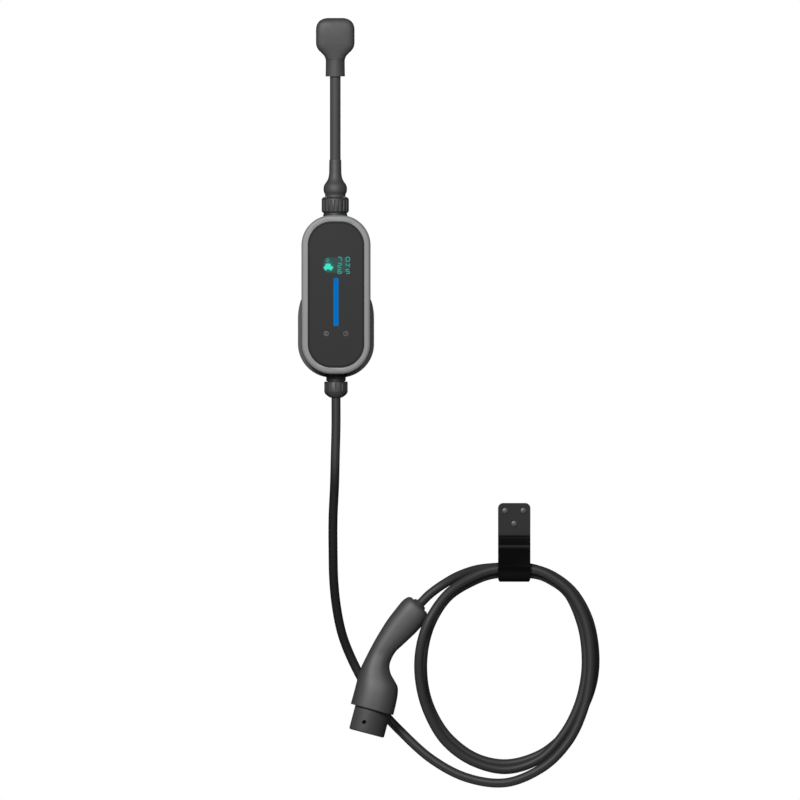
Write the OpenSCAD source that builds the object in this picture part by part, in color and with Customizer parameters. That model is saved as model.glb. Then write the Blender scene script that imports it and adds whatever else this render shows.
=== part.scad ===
// Portable electric car charger hung on a wall. A control box rests in its cradle, a short supply
// lead runs up from it to an angled mains plug, and the charging cable runs down and lies in loose
// loops over a hook, with the vehicle connector at its end.
// +Z is up, +Y goes into the wall and the viewer stands at -Y. The origin is the middle of the
// cradle's back face, which lies on the wall. All lengths are in millimetres.

/* [Control box] */
// Width of the box
box_w = 94; // [90:1:104]
// Height of the box
box_h = 216; // [206:1:240]
// Depth of the box, back to front
box_d = 57; // [54:1:66]
// Radius of the box's corners, seen from the front
box_r = 41; // [36:1:44]
// How far the box's lower end lies below the middle of the cradle
box_drop = 49; // [46:1:54]
// Wall of the rear housing
wall = 3; // [2.4:0.1:3.4]
// Depth of the rear housing, back to parting line
tub_d = 37.5; // [36:0.5:40]
// Rounding of the rear housing's back edge
tub_edge = 7; // [5:0.5:8]
// Thickness of the housing gasket
gasket_t = 1.2; // [0.8:0.1:1.6]

/* [Front] */
// Width of the silver border round the dark panel
bezel_w = 8.5; // [7.5:0.5:9.5]
// Rounding of the border's front edge
bezel_edge = 4; // [3:0.5:5]
// Thickness of the dark front panel
panel_t = 2.2; // [1.6:0.1:3]
// How far the panel lies below the border's front face
panel_recess = 0.6; // [0.3:0.1:1]
// Width of the display's lit field
display_w = 38; // [32:1:40]
// Height of the display's lit field
display_h = 24.5; // [20:0.5:26]
// Height of the display's middle above the middle of the box
display_up = 40; // [38:1:46]
// Width of the light bar
bar_w = 6.6; // [5:0.2:8]
// Length of the light bar
bar_l = 65; // [50:1:65]
// Distance of the light bar's middle below the middle of the box
bar_down = 10; // [8:1:14]
// Distance between the two touch fields
touch_gap = 26.6; // [22:0.2:34]
// Distance of the touch fields below the middle of the box
touch_down = 53; // [50:1:60]

/* [Wall cradle] */
// Thickness of the cradle's back plate
cradle_t = 5; // [4:0.5:7]
// Thickness of the cradle's curved wall
cradle_wall = 4.5; // [4:0.5:6]
// How far the cradle's wall stands out from the back plate
cradle_reach = 31; // [20:1:36]
// Height of the cradle's top edge above its middle
cradle_top = 52; // [48:1:60]
// Width of the gap in the wall that the lower gland drops into
cradle_slot = 29; // [28.6:0.2:34]
// Clearance of the box in its cradle
seat_gap = 0.3; // [0.2:0.1:0.8]
// Distance between the cradle's screws, side to side
cradle_screw_x = 50; // [44:1:56]
// Distance between the cradle's screws, up and down
cradle_screw_z = 56; // [44:1:62]

/* [Cables] */
// Diameter of the supply lead
mains_d = 14.5; // [12:0.5:15]
// Free length of the supply lead, from its sleeve to the plug
mains_free = 113; // [100:1:140]
// Diameter of the charging cable
charge_d = 12.4; // [11:0.1:12.4]
// Distance of the cables' axis from the wall
cable_axis = 25; // [24.5:0.1:25.4]
// Sideways place of the supply lead
lead_x = -1; // [-3:0.5:3]

/* [Inlet coupling] */
// Radius of the coupling nut
nut_r = 18.6; // [17.8:0.2:19.4]
// Height of the coupling nut
nut_h = 21.5; // [20:0.5:24]
// Radius of the inlet socket's threaded collar
socket_r = 14; // [13.4:0.2:14.6]
// Greatest radius of the bulb on the lead's sleeve
bulb_r = 16; // [15:0.2:17.5]
// Length of the sleeve above the coupling nut
sleeve_l = 51; // [45:1:58]

/* [Outlet gland] */
// Radius of the gland's flange
gland_r = 13.3; // [12.8:0.1:14]
// Radius of the gland's cap nut
cap_r = 16; // [15:0.2:17]
// Height of the gland's cap nut with its dome
cap_h = 22; // [20:0.5:25]

/* [Mains plug] */
// Width of the plug's head
plug_w = 52.4; // [50:0.4:56]
// Height of the plug's head and shoulders, neck left out
plug_h = 56.5; // [54:0.5:62]
// Width of the plug's neck
neck_w = 26.4; // [24:0.4:30]
// Distance of the plug's flat side from the wall
plug_back = 12; // [10:0.5:13]
// Distance of the plug's outer side from the wall
plug_front = 44; // [42:1:48]
// Radius of the plug's round face
face_r = 18.3; // [17.8:0.1:18.6]
// Length of the plug's round face
face_l = 17; // [16:0.5:18]
// Diameter of a plug pin
pin_d = 4.8; // [4.6:0.1:5]
// Free length of a plug pin
pin_l = 19; // [18:0.5:20]
// Distance between the plug pins
pin_gap = 19; // [18:0.5:20]

/* [Vehicle connector] */
// Sideways place of the middle of the connector's tip
tip_x = 41.4; // [38:0.2:46]
// Height of the middle of the connector's tip
tip_z = -537.8; // [-542:0.2:-532]
// Distance of the connector's middle from the wall
conn_y = 50; // [49:1:56]
// Lean of the connector's nose from the vertical, in degrees
nose_lean = 14.8; // [12:0.2:18]
// Radius of the round part of the nose
nose_r = 27.5; // [27:0.1:27.8]
// Distance from the middle of the nose to its flat side
nose_flat = 21.5; // [21:0.1:22.5]
// Length of the nose outside the shell
nose_len = 33.4; // [30:0.2:36]
// Wall of the nose
nose_wall = 2.8; // [2.4:0.1:3]
// Width of the shell at the nose
shell_w = 60; // [59:0.5:64]
// Depth of the shell at the nose
shell_d = 64; // [63:0.5:67]
// Length of the shell along the nose's axis
shell_len = 154; // [140:1:165]
// Width of the grip at its narrowest
grip_w = 33; // [31:0.5:38]
// Depth of the grip
grip_d = 37; // [35:0.5:42]
// Width of the grip near its end
butt_w = 42.5; // [41:0.5:46]
// Depth of the grip near its end
butt_d = 40; // [39:0.5:44]
// Wall of the two shell halves
shell_wall = 3; // [2.4:0.1:3.4]
// Bore of a power contact
power_bore = 6; // [5.6:0.1:6.2]
// Bore of a signal contact
signal_bore = 3; // [2.8:0.1:3.2]

/* [Cable hook] */
// Sideways place of the hook's middle
hook_x = 242.4; // [240:0.2:245]
// Width of the hook
hook_w = 44; // [38:1:50]
// Height of the hook's top edge
hook_top = -224.4; // [-228:0.2:-216]
// Height of the hook's underside
hook_low = -331.6; // [-332.4:0.2:-331]
// Thickness of the hook
hook_t = 4; // [3.6:0.1:4.2]
// Inside radius of the hook's bend
hook_r = 20.4; // [20:0.1:21]
// Height of the lip above the middle of the bend
lip_h = 26.5; // [24:0.5:34]
// Forward lean of the lip, in degrees
lip_lean = 7; // [4:1:12]
// Distance between the hook's two upper screws
hook_screw_x = 24.8; // [22:0.4:28]
// Distance of the upper screws below the top edge
hook_screw_top = 10.6; // [9:0.2:12]
// Distance from the upper screws down to the lower one
hook_screw_drop = 17.6; // [14:0.4:20]

/* [Screws] */
// Radius of a wall screw beyond the wall face
stud_r = 2; // [1.8:0.1:2.2]
// Length of a wall screw in the wall
stud_l = 28; // [24:1:34]

/* [Hidden] */
$fn = 48;
fit = 0.2;

black_plastic = "#2c2e31";
soft_black = "#232426";
silver = "#a6a8aa";
brass = "#c9a64b";
steel = "#9a9da1";
board_green = "#2f6b45";

// Heights in the box, from the wall towards the viewer
box_mid = box_h / 2 - box_drop;
back_z = cradle_t + seat_gap;
part_z = back_z + tub_d;
front_z = back_z + box_d;
floor_z = back_z + wall;
bezel_z = part_z + gasket_t;
panel_z = front_z - panel_recess - panel_t;
panel_w = box_w - 2 * bezel_w;
panel_h = box_h - 2 * bezel_w;
panel_r = box_r - bezel_w;
bar_r = 1.2;
ledge = 3;
ledge_t = 2.5;

// The housing's screws stand in bosses against its side walls
boss_r = 4.5;
boss_x = box_w / 2 - wall - boss_r + 0.6;
boss_y = box_h / 2 - box_r - 8;
housing_screw_r = 1.6;

// The main board stands on posts from the housing's floor
board_w = 2 * (boss_x - boss_r - 0.6);
board_h = box_h - 66;
board_t = 1.6;
post_h = 4;
board_z = floor_z + post_h;
post_x = board_w / 2 - 6;
post_y = board_h / 2 - 8;

// The front board hangs from lugs of the bezel, behind the panel
lug_t = 4;
lug_w = 9;
lug_y = box_h / 2 - box_r - 20;
lug_z = panel_z - ledge_t - lug_t;
front_board_w = panel_w - 8;
front_board_h = box_h - 66;
front_board_z = lug_z - board_t;
lug_x = front_board_w / 2 - 5;

// Heights at the box's two ends, measured along Z
pad_h = 1.2;
box_low = -box_drop;
box_high = box_h - box_drop;
inlet_z = box_high + pad_h;
outlet_z = box_low - pad_h;
inlet_pad_r = 16.5;
outlet_pad_r = gland_r + 0.8;
inlet_hole_r = 11;
outlet_hole_r = 10;
nut_z = inlet_z + 2;
sleeve_z = nut_z + nut_h;
sleeve_top = sleeve_z + sleeve_l;
cap_z = outlet_z - 9;
cap_low = cap_z - cap_h;

// The plug sits above the supply lead
plug_low = sleeve_top + mains_free;
neck_h = 23;
plug_top = plug_low + neck_h + plug_h;
face_z = plug_top - plug_w / 2 - 3;
face_pocket = 3;
pin_root = 8;

// Each row is a section of the plug from its top down: share of the head's height, share of its
// width, and how far the outer and the flat side draw in
plug_rows = [
    [0, 0.44, 8, 6], [0.02, 0.62, 5, 3.4], [0.055, 0.77, 2.6, 1.2], [0.11, 0.89, 0.9, 0.2],
    [0.18, 0.965, 0.1, 0], [0.27, 1, 0, 0], [0.42, 1, 0, 0], [0.6, 1, 0, 0], [0.69, 0.965, 0.3, 0]
];
head_power = 5;
neck_power = 3;

// Each row is a section of the connector's shell: share of its length, sideways shift and tilt
shell_rows = [
    [0, -1, 0, shell_w, shell_d],
    [0.09, -1, 0, shell_w - 0.5, shell_d],
    [0.18, -1.5, 0, shell_w - 1.5, shell_d - 2],
    [0.25, -3, 0, mix(shell_w, grip_w, 0.15), mix(shell_d, grip_d, 0.25)],
    [0.3, -6, 0, mix(shell_w, grip_w, 0.42), mix(shell_d, grip_d, 0.45)],
    [0.35, -9.3, 0, mix(shell_w, grip_w, 0.71), mix(shell_d, grip_d, 0.65)],
    [0.41, -10.6, -2, mix(shell_w, grip_w, 0.93), mix(shell_d, grip_d, 0.86)],
    [0.48, -9.2, -1, grip_w, grip_d],
    [0.56, -6, 5, grip_w, grip_d],
    [0.65, -0.4, 15, mix(grip_w, butt_w, 0.32), mix(grip_d, butt_d, 0.2)],
    [0.75, 6.4, 23, mix(grip_w, butt_w, 0.72), mix(grip_d, butt_d, 0.5)],
    [0.84, 13.2, 28, butt_w - 0.5, mix(grip_d, butt_d, 0.9)],
    [0.92, 19, 30, butt_w, butt_d],
    [0.97, 22.6, 30, butt_w - 3.5, butt_d - 3],
    [1, 24.6, 30, butt_w - 10, butt_d - 9]
];
shell_last = len(shell_rows) - 1;
shell_power = 2.5;
shell_steps = 12;
rings_between = 2;
cable_hole_r = 9.6;

// The nose's round part lies off the axis, so that the flat side and the round side are level
nose_shift = nose_flat - (nose_r + nose_flat) / 2;
carrier_z = 24;
carrier_t = 10;
tower_z = 6;
power_tower_r = 6;
signal_tower_r = 4.5;
contact_wall = 1;
signal_wall = 0.8;

// Contact places on the nose: [towards the round side, towards the wall]
earth_place = [1, 0];
line_places = [[1, -16], [1, 16]];
spare_places = [[14, -8.5], [14, 8.5]];
signal_places = [[-11, -8.5], [-11, 8.5]];

// Handle screws: [row of the shell, side of the shell]
handle_screw_places = [[2, -1], [2, 1], [7, -1], [11, 1]];
handle_boss_r = 3.2;
handle_screw_r = 1.5;

// The charging cable's route from inside the outlet gland, down, behind the connector and three times
// round, each turn nearer to the wall, over the hook and into the connector's grip. The first turn
// lies in front of the grip. The route ends inside the grip's clamp.
cable_route = [
    [0, -25, -58], [0, -25, -82], [0, -25, -120], [-1, -25, -160], [-2, -25, -200],
    [-4, -25, -245], [-4, -24, -290], [-3, -21, -330], [1, -16, -368], [9, -12, -405],
    [23, -10.5, -440], [41, -10.5, -474], [62, -11, -506], [86, -14.5, -533],
    [129, -22, -572], [178, -30, -598], [232, -37, -604.6], [282, -38.5, -583.5],
    [316, -38.5, -549], [335.5, -38.5, -509], [344.5, -38.5, -469], [346, -38.5, -428],
    [339, -38, -386], [320, -37.5, -348], [294, -37, -325.5], [266, -36.5, -314.4],
    [218, -36.5, -314.4], [184, -42.5, -326], [151, -55, -348.6], [125.4, -66, -386],
    [113.6, -64, -428], [114.3, -54, -470], [126, -43, -511], [149, -34, -549],
    [186, -28, -576], [232, -25.5, -587], [277, -25.5, -572.5], [308.5, -25.5, -540],
    [328, -25.5, -504], [338, -25.5, -467], [340, -25.5, -430], [334, -25.5, -390],
    [317, -25.3, -350], [293, -25, -330], [266, -24.9, -320.8], [218, -24.9, -320.8],
    [184.5, -25, -331.8], [152, -25, -353], [129.5, -24, -388], [119, -22, -428],
    [119.4, -20, -470], [130.5, -18, -508], [153, -15.5, -543], [189, -13.5, -570],
    [232, -12.5, -579], [276, -12.5, -567], [309, -12.5, -541.5], [334, -12.5, -508],
    [349, -12.5, -469], [352, -12.5, -428], [344, -12.5, -384], [324, -12.5, -347],
    [296, -12.6, -324], [266, -12.6, -313], [242, -12.6, -311.4], [217, -14.2, -311.9],
    [191, -22.4, -315], [166.5, -36.4, -323.4], [145.5, -46.4, -335.3], [127.5, -50, -348.4],
    [113, -50, -362.9], [98.9, -50, -377.1]
];
cord_sides = 10;
mains_rings = 4;
core_r = 1.3;

function mix(a, b, share) = a + (b - a) * share;

// Point of a smooth curve through hand-chosen points, and its direction
function curve_at(points, s) =
    let (
        i = min(floor(s), len(points) - 2),
        t = s - i,
        a = points[max(i - 1, 0)],
        b = points[i],
        c = points[i + 1],
        d = points[min(i + 2, len(points) - 1)]
    )
    0.5 * (2 * b + (c - a) * t + (2 * a - 5 * b + 4 * c - d) * t * t
        + (3 * b - a - 3 * c + d) * t * t * t);
function curve_way(points, s) =
    let (
        last = len(points) - 1,
        ahead = curve_at(points, min(s + 0.01, last)),
        behind = curve_at(points, max(s - 0.01, 0))
    )
    (ahead - behind) / norm(ahead - behind);

// Ring of points round a curve. The route never runs along Y, so Y gives each ring its bearing
function cord_ring(points, s, radius, sides) =
    let (
        way = curve_way(points, s),
        side = cross(way, [0, 1, 0]),
        u = side / norm(side),
        v = cross(way, u)
    )
    [for (k = [0:sides - 1])
        curve_at(points, s) + radius * (cos(360 * k / sides) * u + sin(360 * k / sides) * v)];

// Rings of equal length, one after another, closed into one solid
module skin(rings) {
    count = len(rings[0]);
    last = len(rings) - 1;
    sides = [for (j = [0:last - 1], i = [0:count - 1], half = [0, 1])
        let (a = j * count + i, b = j * count + (i + 1) % count)
        half == 0 ? [a, a + count, b + count] : [a, b + count, b]];
    foot = [for (i = [0:count - 1]) i];
    head = [for (i = [count - 1:-1:0]) last * count + i];
    polyhedron([for (ring = rings) each ring], concat([foot], sides, [head]));
}

module cord(points, radius, sides) {
    skin([for (k = [0:len(points) - 1]) cord_ring(points, k, radius, sides)]);
}

// Draws outlines upright in front of the wall: what is extruded grows towards the viewer
module at_box() {
    translate([0, 0, box_mid]) rotate([90, 0, 0]) children();
}

module rounded_outline(w, h, r) {
    square([w - 2 * r, h], center = true);
    square([w, h - 2 * r], center = true);
    for (x = [-1, 1], y = [-1, 1]) translate([x * (w / 2 - r), y * (h / 2 - r)]) circle(r);
}

// Carries a section round a rounded rectangle. The section's x is the distance from the middle of
// the corner and its y is the height above the wall
module run_round(w, h, r) {
    for (k = [0:3]) {
        half_x = (k % 2 == 0 ? w : h) / 2 - r;
        half_y = (k % 2 == 0 ? h : w) / 2 - r;
        rotate(90 * k) translate([half_x, half_y, 0]) {
            rotate_extrude(angle = 90) children();
            rotate([90, 0, 0]) linear_extrude(2 * half_y) children();
        }
    }
}

// Slab with a rounded rectangle's outline and a rounded edge at its lower face
module pillow(w, h, r, low, high, edge) {
    run_round(w, h, r) {
        translate([0, low + edge]) square([r, high - low - edge]);
        translate([0, low]) square([r - edge, high - low]);
        translate([r - edge, low + edge]) circle(edge);
    }
    translate([r - w / 2, r - h / 2, low]) cube([w - 2 * r, h - 2 * r, high - low]);
}

module slab(w, h, r, low, high) {
    translate([0, 0, low]) linear_extrude(high - low) rounded_outline(w, h, r);
}

// Vertical axis of a cable, at a height
module on_axis(x, z) {
    translate([x, -cable_axis, z]) children();
}

module tube(outer, inner, h) {
    difference() {
        cylinder(r = outer, h = h);
        translate([0, 0, -1]) cylinder(r = inner, h = h + 2);
    }
}

// Grip flutes round a nut, cut from its side
module flutes(count, r, depth, h) {
    for (k = [0:count - 1]) rotate(360 * k / count) translate([r + 1.6 - depth, 0, 0])
        cylinder(r = 1.6, h = h, $fn = 16);
}

// Turned shank along -Z: neck, thread and tip
module shank(neck_r, neck_l, thread_r, thread_l, high, high_r) {
    tip = -neck_l - thread_l;
    rotate_extrude() polygon([
        [0, tip - 2 * thread_r], [0.2, tip - 2 * thread_r], [thread_r, tip], [thread_r, -neck_l],
        [neck_r, -neck_l], [neck_r, neck_r - high_r], [high_r, 0], [high_r, high], [0, high]
    ]);
}

module cross_recess(head_r, low) {
    for (turn = [0, 90]) rotate(turn) translate([-0.55 * head_r, -0.4, low]) cube([1.1 * head_r, 0.8, 2]);
}

// Screw along -Z with its domed head on top
module pan_screw(head_r, head_h, neck_r, neck_l, thread_r, thread_l) {
    dome = 2.2 * head_r;
    difference() {
        union() {
            shank(neck_r, neck_l, thread_r, thread_l, 0.3, neck_r);
            intersection() {
                cylinder(r = head_r, h = head_h);
                translate([0, 0, head_h - dome]) sphere(dome);
            }
        }
        cross_recess(head_r, head_h - 1);
    }
}

module sunk_screw(head_r, neck_r, neck_l, thread_r, thread_l) {
    difference() {
        shank(neck_r, neck_l, thread_r, thread_l, 0, head_r);
        cross_recess(head_r, -1.2);
    }
}

cradle_w = box_w + 2 * (seat_gap + cradle_wall);
cradle_h = box_h + 2 * (seat_gap + cradle_wall);
cradle_r = box_r + seat_gap + cradle_wall;
cradle_curve = 78;
cradle_bend = 25;
wall_screw_head = 4.2;
wall_neck_r = 2.3;

// Outline of the cradle: the box's own outline grown by its clearance and wall, drawn in at the top
module cradle_outline() {
    top = cradle_top - box_mid;
    bend = top - cradle_bend;
    intersection() {
        rounded_outline(cradle_w, cradle_h, cradle_r);
        union() {
            translate([-cradle_w, -cradle_h]) square([2 * cradle_w, cradle_h + bend]);
            intersection() {
                translate([cradle_curve - cradle_w / 2, bend]) circle(cradle_curve, $fn = 120);
                translate([cradle_w / 2 - cradle_curve, bend]) circle(cradle_curve, $fn = 120);
                translate([-cradle_w, bend - 1]) square([2 * cradle_w, cradle_bend + 1]);
            }
        }
    }
}

module cradle_screw_spots() {
    for (x = [-1, 1], y = [-1, 1])
        translate([x * cradle_screw_x / 2, y * cradle_screw_z / 2 - box_mid, 0]) children();
}

// One moulded piece: back plate and a curved wall that is open at the bottom for the gland
module wall_cradle() {
    color(black_plastic) at_box() difference() {
        linear_extrude(cradle_t + cradle_reach) cradle_outline();
        translate([0, 0, cradle_t]) linear_extrude(cradle_reach + 1)
            rounded_outline(box_w + 2 * seat_gap, box_h + 2 * seat_gap, box_r + seat_gap);
        translate([-cradle_slot / 2, -cradle_h / 2 - 1, cradle_t])
            cube([cradle_slot, cradle_h / 2, cradle_reach + 1]);
        for (x = [-1, 1]) translate([x * (cradle_slot / 2 + 3), -cradle_h / 2 - 1, 0]) difference() {
            translate([-3.1, -1, cradle_t + 3]) cube([6.2, 5, cradle_reach]);
            translate([x * 1.2, 6.3, 0]) cylinder(r = 5.2, h = 2 * cradle_reach);
        }
        cradle_screw_spots() {
            translate([0, 0, -1]) cylinder(r = wall_neck_r + fit, h = cradle_t + 2);
            translate([0, 0, cradle_t - wall_screw_head + wall_neck_r])
                cylinder(r1 = wall_neck_r + fit, r2 = wall_screw_head + fit,
                    h = wall_screw_head - wall_neck_r);
        }
    }
}

module cradle_screws() {
    color(steel) at_box() cradle_screw_spots() translate([0, 0, cradle_t - 0.1])
        sunk_screw(wall_screw_head, wall_neck_r, cradle_t - 0.1, stud_r, stud_l);
}

// One moulded tub: rounded shell, floor ribs, screw bosses, board posts and flat pads for the glands
module rear_housing() {
    color(black_plastic) difference() {
        union() {
            at_box() difference() {
                pillow(box_w, box_h, box_r, back_z, part_z, tub_edge);
                pillow(box_w - 2 * wall, box_h - 2 * wall, box_r - wall, floor_z, part_z + 5,
                    tub_edge - wall);
            }
            at_box() for (x = [-1, 1], y = [-1, 1]) {
                translate([x * boss_x, y * boss_y, floor_z - 1]) cylinder(r = boss_r, h = part_z - floor_z + 1);
                translate([x * post_x, y * post_y, floor_z - 1]) cylinder(r = 3.5, h = post_h + 1);
            }
            on_axis(lead_x, box_high - wall - 2) cylinder(r = inlet_pad_r, h = inlet_z - box_high + wall + 2);
            on_axis(0, outlet_z) cylinder(r = outlet_pad_r, h = pad_h + wall + 2);
        }
        at_box() for (x = [-1, 1], y = [-1, 1]) {
            translate([x * boss_x, y * boss_y, back_z - 1]) {
                cylinder(r = housing_screw_r + fit, h = tub_d + 2);
                cylinder(r = 3.6, h = 4.5);
            }
            translate([x * post_x, y * post_y, floor_z]) cylinder(r = 1.2, h = post_h + 1);
        }
        on_axis(lead_x, box_high - wall - 3) cylinder(r = inlet_hole_r, h = 12);
        on_axis(0, outlet_z - 1) cylinder(r = outlet_hole_r, h = 12);
    }
}

module housing_gasket() {
    color(soft_black) at_box() difference() {
        slab(box_w - 1.2, box_h - 1.2, box_r - 0.6, part_z, bezel_z);
        slab(box_w - 2 * wall + 0.6, box_h - 2 * wall + 0.6, box_r - wall + 0.3, part_z - 1, bezel_z + 1);
    }
}

// Silver border: outer skin, ledge for the panel, screw bosses and lugs for the front board
module front_bezel() {
    color(silver) at_box() difference() {
        union() {
            run_round(box_w, box_h, box_r) difference() {
                union() {
                    translate([box_r - bezel_w - ledge, bezel_z])
                        square([bezel_w + ledge, front_z - bezel_z - bezel_edge]);
                    translate([box_r - bezel_w - ledge, bezel_z])
                        square([bezel_w + ledge - bezel_edge, front_z - bezel_z]);
                    translate([box_r - bezel_edge, front_z - bezel_edge]) circle(bezel_edge);
                }
                translate([box_r - bezel_w - ledge - 1, panel_z]) square([ledge + 1, 20]);
                translate([box_r - bezel_w - ledge - 1, bezel_z - 1])
                    square([bezel_w + ledge + 1 - wall, panel_z - ledge_t - bezel_z + 1]);
            }
            for (x = [-1, 1], y = [-1, 1]) {
                translate([x * boss_x, y * boss_y, bezel_z]) cylinder(r = boss_r, h = panel_z - ledge_t - bezel_z + 0.5);
                translate([x * (lug_x + lug_w / 2) - lug_w / 2 - 2, y * lug_y - lug_w / 2, lug_z])
                    cube([lug_w + 4, lug_w, lug_t + 0.5]);
            }
        }
        for (x = [-1, 1], y = [-1, 1]) {
            translate([x * boss_x, y * boss_y, bezel_z - 1]) cylinder(r = housing_screw_r, h = 11);
            translate([x * lug_x, y * lug_y, lug_z - 1]) cylinder(r = 1.2, h = lug_t + 0.6);
        }
    }
}

module housing_screws() {
    color(steel) at_box() for (x = [-1, 1], y = [-1, 1])
        translate([x * boss_x, y * boss_y, back_z + 3.4]) rotate([180, 0, 0])
            pan_screw(3.2, 2.4, housing_screw_r, part_z - back_z - 3.4, housing_screw_r - 0.1, 6);
}

module front_panel() {
    color("#303236") at_box() difference() {
        slab(panel_w - 2 * fit, panel_h - 2 * fit, panel_r - fit, panel_z, panel_z + panel_t);
        translate([0, -bar_down, 0]) linear_extrude(front_z)
            rounded_outline(bar_w + 0.2, bar_l + 0.2, bar_r + 0.1);
    }
}

module light_guide() {
    foot_z = front_board_z + board_t + 1.5;
    color("#1272c8") at_box() translate([0, -bar_down, foot_z]) {
        linear_extrude(panel_z + panel_t - foot_z) rounded_outline(bar_w, bar_l, bar_r);
        linear_extrude(panel_z - foot_z - 0.2) rounded_outline(bar_w + 3, bar_l + 3, bar_r);
    }
}

module display_module() {
    depth = panel_z - front_board_z - board_t;
    color("#153f3d") at_box() translate([0, display_up, front_board_z + board_t]) {
        linear_extrude(depth * 0.55) rounded_outline(display_w + 8, display_h + 5, 2);
        linear_extrude(depth - 0.2) rounded_outline(display_w + 2, display_h + 2, 1);
    }
}

module touch_pads() {
    base = front_board_z + board_t;
    color("#8d8f92") at_box() for (x = [-1, 1]) translate([x * touch_gap / 2, -touch_down, base]) {
        cylinder(r = 3.5, h = panel_z - base);
        cylinder(r = 4.5, h = 1);
    }
}

// Board with its lamps for the light guide, a processor and a flat plug for the display
module front_board() {
    lamp = [3.2, 2.8, 1.2];
    color(board_green) at_box() {
        difference() {
            slab(front_board_w, front_board_h, 6, front_board_z, front_board_z + board_t);
            for (x = [-1, 1], y = [-1, 1]) translate([x * lug_x, y * lug_y, front_board_z - 1])
                cylinder(r = 1.5, h = board_t + 2);
        }
        for (k = [-3:3]) translate([-lamp.x / 2, k * 9 - bar_down - lamp.y / 2, front_board_z + board_t - 0.1])
            cube(lamp);
        translate([-7, 2, front_board_z - 1.4]) cube([14, 14, 1.5]);
        translate([-12, display_up - 5, front_board_z - 3.5]) cube([24, 5, 3.6]);
    }
}

module main_board() {
    color(board_green) at_box() difference() {
        slab(board_w, board_h, 10, board_z, board_z + board_t);
        for (x = [-1, 1], y = [-1, 1]) translate([x * post_x, y * post_y, board_z - 1])
            cylinder(r = 1.5, h = board_t + 2);
    }
}

top_z = board_z + board_t;

module relays() {
    color("#c8702c") at_box() for (x = [-1, 1]) translate([x * 17, -12, top_z]) {
        linear_extrude(19) rounded_outline(28, 22, 1.5);
        linear_extrude(20) rounded_outline(24, 18, 1.5);
    }
}

// Ring core that the outgoing line and neutral run through, in its foot
sensor_y = -36;
module current_sensor() {
    color("#3b3e55") at_box() difference() {
        union() {
            translate([0, sensor_y + 5, cable_axis]) rotate([90, 0, 0]) cylinder(r = 10.2, h = 10);
            translate([-11, sensor_y - 5, top_z]) cube([22, 10, 6]);
        }
        translate([0, sensor_y + 6, cable_axis]) rotate([90, 0, 0]) cylinder(r = 6, h = 12);
    }
}

module supply_transformer() {
    color("#4a4c50") at_box() translate([-18, 27, top_z]) {
        linear_extrude(5) rounded_outline(26, 24, 1);
        translate([0, 0, 4.9]) linear_extrude(11) rounded_outline(19, 18, 3);
        translate([-13, -6, 4.9]) cube([26, 12, 13]);
    }
}

module filter_capacitors() {
    color("#303a58") at_box() for (spot = [[8, 20, 6.3], [23, 20, 6.3], [15, 34, 5]])
        translate([spot.x, spot.y, top_z]) {
            cylinder(r = spot[2], h = 19);
            cylinder(r = spot[2] + 0.4, h = 3);
        }
}

block_y = 52;
block_h = 11;
wire_z = board_z + board_t + 4.5;
block_poles = 4;
block_pitch = 7.5;

// Screw terminals: the supply's at the top and the charging cable's at the bottom
module terminal_blocks() {
    width = block_poles * block_pitch;
    color("#3f7a4d") at_box() for (side = [-1, 1]) translate([0, side * block_y, top_z]) difference() {
        translate([-width / 2, -6, 0]) cube([width, 12, block_h]);
        for (k = [0:block_poles - 1]) translate([(k + 0.5) * block_pitch - width / 2, 0, 0]) {
            translate([0, 0, block_h - 3]) cylinder(r = 2.4, h = 4);
            translate([0, side * 2, wire_z - top_z]) rotate([-90 * side, 0, 0]) cylinder(r = 2, h = 5);
        }
    }
}

module board_screws() {
    color(steel) at_box() for (x = [-1, 1], y = [-1, 1]) {
        translate([x * post_x, y * post_y, top_z]) pan_screw(2.6, 1.8, 1.2, board_t, 1.1, post_h - 2.8);
        translate([x * lug_x, y * lug_y, front_board_z]) rotate([180, 0, 0])
            pan_screw(2.2, 1.6, 1.2, board_t, 1.1, lug_t - 3);
    }
}

locknut_h = 5;
tail_r = inlet_hole_r - fit;
cavity_r = 10.2;
socket_base = 3;
contact_ring = 5;
inlet_pin_r = 2;
lip_r = 11.5;
lip_z = sleeve_z - 4;
flange_h = 3.4;

// Socket for the supply lead: collar with a keyway, flange on the seal, tail through the housing
module inlet_socket() {
    color(soft_black) on_axis(lead_x, 0) difference() {
        union() {
            translate([0, 0, inlet_z + 1]) cylinder(r = inlet_pad_r - 0.5, h = 1);
            translate([0, 0, inlet_z + 1]) cylinder(r = socket_r, h = lip_z - flange_h - fit - inlet_z - 1);
            translate([0, 0, box_high - wall - 2 - locknut_h - 1])
                cylinder(r = tail_r, h = inlet_z - box_high + wall + 4 + locknut_h);
        }
        translate([0, 0, inlet_z + socket_base]) cylinder(r = cavity_r, h = nut_h);
        translate([0, 0, box_high - wall - 10]) cylinder(r = cavity_r - 2.4, h = 9);
        for (k = [0:2]) rotate(120 * k + 90) translate([contact_ring, 0, 0])
            cylinder(r = inlet_pin_r, h = 2 * box_high);
    }
}

module inlet_pins() {
    color(brass) on_axis(lead_x, box_high - wall - 8) for (k = [0:2])
        rotate(120 * k + 90) translate([contact_ring, 0, 0]) {
            cylinder(r = inlet_pin_r, h = 24);
            translate([0, 0, 24]) cylinder(r1 = inlet_pin_r, r2 = 1.2, h = 1.2);
        }
}

module inlet_seal() {
    color(soft_black) on_axis(lead_x, inlet_z) tube(inlet_pad_r - 0.8, inlet_hole_r, 1);
}

module inlet_locknut() {
    color(soft_black) on_axis(lead_x, box_high - wall - 2 - locknut_h) difference() {
        cylinder(r = 15, h = locknut_h, $fn = 6);
        translate([0, 0, -1]) cylinder(r = inlet_hole_r - 0.1, h = locknut_h + 2);
    }
}

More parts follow.
